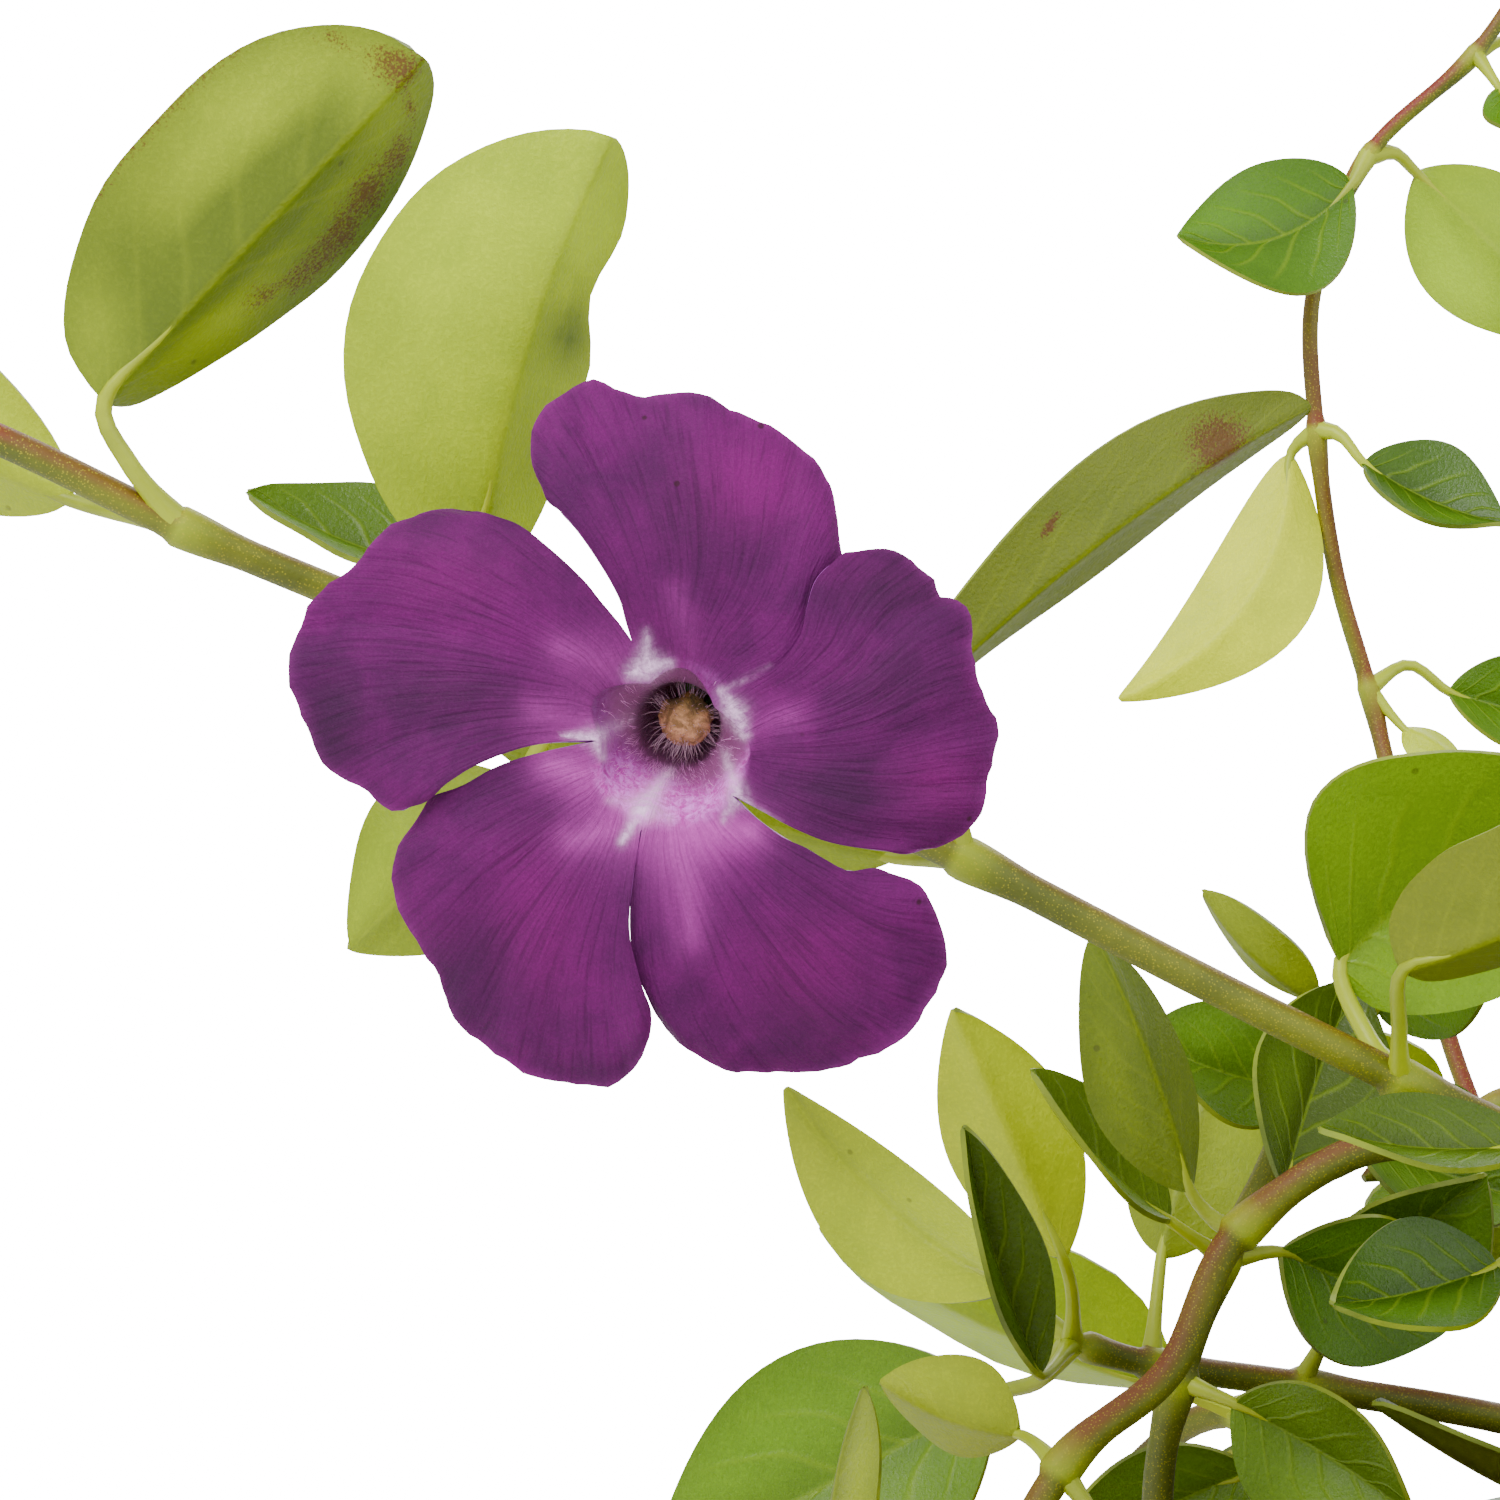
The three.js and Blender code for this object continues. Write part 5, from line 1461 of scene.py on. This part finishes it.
def head_hairs(count, chance):
    """Long fine hairs that spread from under the head in fans, and short ones on its top."""
    lines = []
    for number in range(count):
        fan = chance.choice((-150, -112, -78, -30, 20, 62, 100, 150))
        angle = math.radians(chance.gauss(fan, 11))
        up = chance.uniform(-0.3, 0.45) if number % 4 else chance.uniform(0.4, 0.95)
        way = unit(ways(angle)[0] * math.sqrt(max(0.05, 1 - up * up)) + up * UP)
        foot = HEAD_PLACE + way * HEAD_SHAPE * (HEAD_RADIUS * 0.93)
        long = chance.uniform(0.45, 1.0) if number % 4 else chance.uniform(0.15, 0.4)
        lines.append(hair(foot, way, long, 0.4, chance))
    return lines


def build_calyx(stand, stalk):
    """The green cup round the tube's foot, its five narrow sepals, and the flower's stalk."""
    floor = -CALYX_DEPTH
    profile = [(0.02, floor - 1.1), (0.9, floor - 1.0), (1.6, floor - 0.7), (2.0, floor + 0.4),
               (2.1, floor + 1.4), (2.05, floor + 2.6), (1.6, floor + 2.6), (1.55, floor + 0.2),
               (0.02, floor)]
    cup = spin_profile("cup", profile, 24)
    cup.data.materials.append(CALYX_GREEN)
    sepals = []
    for k in range(5):
        sepal = grid("sepal", 4, 10)
        flat = points_of(sepal.data)
        share = (flat[:, 1] + 1) / 2
        out, side = ways(2 * math.pi * k / 5)
        half = 0.72 * (1 - share**1.6) + 0.02
        radius = 1.85 + 1.45 * share**1.3
        height = floor + 1.6 + 4.6 * share
        places = out * radius[:, None] + side * (flat[:, 0] * half)[:, None]
        places[:, 2] += height - 0.22 * flat[:, 0] ** 2
        move_points(sepal.data, places)
        thicken(sepal, PETAL_THICK, CALYX_GREEN)
        sepals.append(sepal)
    green = join([cup, *sepals], "calyx")
    lean = Vector((0, 0, -1)).rotation_difference(Vector(TUBE_LEAN))
    green.data.transform(lean.to_matrix().to_4x4())
    green.data.transform(stand)

    def radius_at(length):
        share = length / stalk.length
        return STALK_RADIUS * (1 + 0.35 * (1 - share) ** 6 + 0.25 * share**8)

    return [green, cable("flower_stalk", [bar_along(stalk, 24, radius_at)], 4, CALYX_GREEN)]


def spin_profile(name, profile, steps):
    """Turns a profile of (distance from the axis, height) in mm once round the upright axis."""
    let_go()
    bpy.ops.mesh.primitive_plane_add(size=1)
    piece = named(name)
    bpy.ops.object.mode_set(mode="EDIT")
    bpy.ops.mesh.select_all(action="SELECT")
    bpy.ops.mesh.merge(type="CENTER")
    bpy.ops.transform.translate(value=(profile[0][0] * MM, 0, profile[0][1] * MM))
    for (near, low), (far, high) in zip(profile, profile[1:]):
        step = ((far - near) * MM, 0, (high - low) * MM)
        bpy.ops.mesh.extrude_region_move(TRANSFORM_OT_translate={"value": step})
    bpy.ops.mesh.select_all(action="SELECT")
    bpy.ops.mesh.spin(steps=steps, angle=2 * math.pi, center=(0, 0, 0), axis=(0, 0, 1))
    bpy.ops.mesh.select_all(action="SELECT")
    bpy.ops.mesh.remove_doubles(threshold=0.03 * MM)
    bpy.ops.mesh.normals_make_consistent(inside=False)
    bpy.ops.object.mode_set(mode="OBJECT")
    return piece


# Each bloom's shoot, the point of its route that carries it, where the throat is (a place, or how
# far ahead and above that point), the way it faces, and its turn and size
BLOOMS = [
    dict(shoot="flowering_shoot", node=7, throat=(-3.38, 0.63, 0), facing=(0, -1, 0), turn=0,
         size=1.0),
    dict(shoot="upright_shoot_10", node=2, ahead=17, above=9, facing=(0.72, 0.1, 0.6), turn=31,
         size=0.94),
]


def bloom_stand(bloom, node):
    """The throat's place, and the matrix that sets a bloom there."""
    facing = unit(np.array(bloom["facing"], dtype=float))
    right = unit(np.cross(UP, facing))
    upward = np.cross(facing, right)
    if "throat" in bloom:
        throat = seen(bloom["throat"])
    else:
        throat = node + facing * bloom["ahead"] + UP * bloom["above"]
    axes = Matrix((right, upward, facing)).transposed()
    axes = axes @ Matrix.Rotation(math.radians(bloom["turn"]), 3, "Z") * bloom["size"]
    return Matrix.Translation(Vector(throat * MM)) @ axes.to_4x4()


def build_bloom(bloom, number, corolla_master, pistil_master, hairs_master):
    """Sets a bloom on its stalk; returns the green parts, which belong to the shoot."""
    node = PLANS[bloom["shoot"]][0].points[bloom["node"] + len(FOOT_HEIGHTS)]
    stand = bloom_stand(bloom, node)
    for master, name, degrees, slot, solid in (
        (corolla_master, "petals", 60, "petals", "corolla"),
        (pistil_master, "head", 80, "stigma", "pistil"),
    ):
        piece = copy_of(master, f"bloom_{number}_{name}")
        piece.data.transform(stand)
        smooth(piece, degrees)
        finish_piece(piece, slot, f"bloom_{number}_{solid}")
    if hairs_master:
        fuzz = copy_of(hairs_master, f"bloom_{number}_hairs")
        fuzz.data.transform(stand)
        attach(fuzz, "root")

    turn = np.array(stand.to_3x3().normalized())
    foot = np.array(stand @ Vector(TUBE_LEAN * (CALYX_DEPTH + 0.5) * MM)) / MM
    knee = foot + turn @ TUBE_LEAN * 3.2
    bend = knee + (node - knee) * 0.55 + UP * 1.2
    return build_calyx(stand, Line([foot, knee, bend, node]))


corolla_sheet = build_corolla_sheet()
pistil_sheet = build_pistil()
hairs_sheet = None
chance = random.Random(7)
in_throat = cable("throat_hairs", throat_hairs(THROAT_HAIRS, chance), 0, THROAT_HAIR)
on_head = cable("head_hairs", head_hairs(HEAD_HAIRS, chance), 0, HEAD_HAIR)
hairs_sheet = join([in_throat, on_head], "hairs")

masters = (corolla_sheet, pistil_sheet, hairs_sheet)
green_parts = {
    bloom["shoot"]: build_bloom(bloom, number, *masters) for number, bloom in enumerate(BLOOMS, 1)
}
for master in masters:
    if master:
        discard(master)


# The shoots, one by one

for node, plan in PLANS.items():
    build_shoot(node, *plan, green_parts.get(node, ()))
discard(blade_fine)
discard(blade_plain)


# Pot


def build_pot():
    under = POT_HEIGHT - RIM_DEPTH
    inner = RIM_RADIUS - RIM_WALL
    profile = [
        (0.02, 0.6), (FOOT_RADIUS - 12, 0.6), (FOOT_RADIUS - 10, 0), (FOOT_RADIUS - 1.5, 0),
        (FOOT_RADIUS, 1.5), (BODY_RADIUS, under), (RIM_RADIUS - 1, under),
        (RIM_RADIUS, under + 1), (RIM_RADIUS, POT_HEIGHT - 1.5), (RIM_RADIUS - 1.5, POT_HEIGHT),
        (inner + 1.5, POT_HEIGHT), (inner, POT_HEIGHT - 1.5), (BODY_RADIUS - POT_WALL, under - 2),
        (FOOT_RADIUS - POT_WALL, POT_FLOOR + 2), (FOOT_RADIUS - POT_WALL - 2, POT_FLOOR),
        (0.02, POT_FLOOR),
    ]
    pot = spin_profile("clay_pot", profile, ROUND)
    pot.data.materials.append(FIRED_CLAY)
    for k in range(DRAINS):
        let_go()
        bpy.ops.mesh.primitive_cylinder_add(
            vertices=40, radius=DRAIN_RADIUS * MM, depth=3 * POT_FLOOR * MM,
            location=DRAIN_CIRCLE * MM * ways(2 * math.pi * k / DRAINS)[0],
        )
        drill = named("drill")
        modify(pot, "drain", "BOOLEAN", operation="DIFFERENCE", object=drill)
        apply_all(pot)
        discard(drill)
    modify(pot, "worn_edges", "BEVEL", width=WORN_EDGE * MM, segments=3, limit_method="ANGLE",
           angle_limit=math.radians(28))
    apply_all(pot)
    smooth(pot, 40)
    finish_piece(pot, "clay", "pot")


def soil_radius(height):
    """How far the soil reaches from the axis at a height."""
    under = POT_HEIGHT - RIM_DEPTH - 2
    low = (FOOT_RADIUS - POT_WALL, POT_FLOOR + 2)
    middle = (BODY_RADIUS - POT_WALL, under)
    high = (RIM_RADIUS - RIM_WALL, POT_HEIGHT - 1.5)
    start, end = (low, middle) if height < under else (middle, high)
    wide = start[0] + (end[0] - start[0]) * (height - start[1]) / (end[1] - start[1])
    return wide - 0.3


def lumps(x, y):
    return (
        1.1 * np.sin(x * 0.19 + 1) * np.cos(y * 0.16)
        + 0.6 * np.sin(x * 0.43 + y * 0.31)
        + 0.4 * np.cos(y * 0.57 - x * 0.12)
    )


# Noise size and height of the loose top, in mm
SOIL_ROUGHNESS = [(5.0, 1.8), (1.7, 1.9)]
# How many bits lie on it, how large they are in mm, and of what they are made
SOIL_BITS = [
    (500, (0.5, 1.9), SOIL_DARK), (520, (0.4, 1.3), SOIL_CRUMB), (110, (0.3, 0.8), SOIL_GRIT),
]


def build_soil():
    """Dark crumbly potting soil with pale grit, filling the pot nearly to its rim."""
    bottom = POT_FLOOR + 0.3
    edge = soil_radius(SOIL_LEVEL)
    profile = [
        (0.02, bottom), (FOOT_RADIUS - POT_WALL - 2.6, bottom),
        *[(soil_radius(height), height) for height in (POT_FLOOR + 2.6, 79)],
        (edge, SOIL_LEVEL - 1.5),
        *[((edge - 0.6) * (1 - k / SOIL_RINGS) + 0.02, SOIL_LEVEL) for k in range(SOIL_RINGS + 1)],
    ]
    soil = spin_profile("potting_soil", profile, ROUND)
    places = points_of(soil.data) / MM
    x, y = places[:, 0], places[:, 1]
    top = places[:, 2] > SOIL_LEVEL - 0.1
    level_off = 1 - bell(np.hypot(x, y), edge, 3.0)
    places[:, 2] += np.where(top, lumps(x, y) * level_off, 0)
    move_points(soil.data, places)
    loose = soil.vertex_groups.new(name="loose")
    loose.add([int(k) for k in np.nonzero(top)[0]], 1.0, "REPLACE")
    for size, strength in SOIL_ROUGHNESS:
        texture = bpy.data.textures.new("crumbs", "CLOUDS")
        texture.noise_scale = size * MM
        modify(soil, "crumbs", "DISPLACE", texture=texture, texture_coords="LOCAL",
               strength=strength * MM, direction="Z", vertex_group="loose")
    soil.data.materials.append(SOIL_DARK)
    apply_all(soil)

    pieces = [soil]
    for count, size, material in SOIL_BITS:
        let_go()
        bpy.ops.mesh.primitive_ico_sphere_add(subdivisions=1, radius=MM)
        crumb = named("crumb")
        crumb.data.materials.append(material)
        chance = random.Random(count)
        for _ in range(count):
            far, turn = edge * 0.985 * math.sqrt(chance.random()), chance.uniform(0, 6.283)
            x, y = far * math.cos(turn), far * math.sin(turn)
            wide = chance.uniform(*size)
            piece = copy_of(crumb, "crumb")
            corners = points_of(piece.data) / MM
            corners = corners * [wide * chance.uniform(0.6, 1.2) for _ in range(3)]
            corners = corners * np.array([[chance.uniform(0.65, 1.35)] for _ in corners])
            height = SOIL_LEVEL + float(lumps(x, y)) + 0.25 * wide
            limit = edge - wide
            hold = min(1.0, limit / max(far, 0.1))
            move_points(piece.data, corners + np.array([x * hold, y * hold, height]))
            pieces.append(piece)
        discard(crumb)
    finished = join(pieces, "potting_soil")
    smooth(finished, 35)
    finish_piece(finished, "soil", "soil")


build_pot()
build_soil()


# Stage: a pale floor, a white surround, soft lights, and the camera

FLOOR_RADIUS = 0.78
FLOOR_DROP = 0.0002
let_go()
bpy.ops.mesh.primitive_circle_add(
    vertices=128, radius=FLOOR_RADIUS, fill_type="NGON", location=(0, 0, -FLOOR_DROP)
)
floor = named("floor")
paper = Skin("paper", Roughness=0.9, Base_Color=(0.86, 0.86, 0.85, 1))
floor.data.materials.append(paper.material)

SURROUND = 1.0
WHITE_BEHIND = 18.0
world = bpy.data.worlds.new("surround")
world.use_nodes = True
bpy.context.scene.world = world
air = Nodes(world.node_tree)
background = air.tree.nodes["Background"].inputs
air.put((1, 1, 1, 1), background["Color"])
seen_direct = air.add("LightPath", {}, "Is Camera Ray")
white = air.times_plus(seen_direct, WHITE_BEHIND - SURROUND, SURROUND)
air.put(white, background["Strength"])


def add_light(name, place, aim, size, power):
    let_go()
    bpy.ops.object.light_add(type="AREA", location=place)
    lamp = bpy.context.object
    lamp.name = name
    lamp.data.size = size
    lamp.data.energy = power
    away = Vector(place) - Vector(aim)
    lamp.rotation_euler = away.to_track_quat("Z", "Y").to_euler()


subject = (-0.07, -0.02, 0.145)
add_light("key_light", (-0.45, -0.55, 0.75), subject, 0.5, 9.0)
add_light("fill_light", (0.6, -0.6, 0.35), subject, 0.7, 4.0)
add_light("back_light", (0.2, 0.7, 0.6), subject, 0.6, 5.0)

EYE = (MIDDLE - np.array([0, SIGHT, 0])) * MM
LENS = 136.5
bpy.ops.object.camera_add(location=EYE, rotation=(math.radians(90), 0, 0))
camera = bpy.context.object
camera.name = "front_view"
camera.data.lens = LENS
camera.data.sensor_width = 36
camera.data.clip_start = 0.01
bpy.context.scene.camera = camera
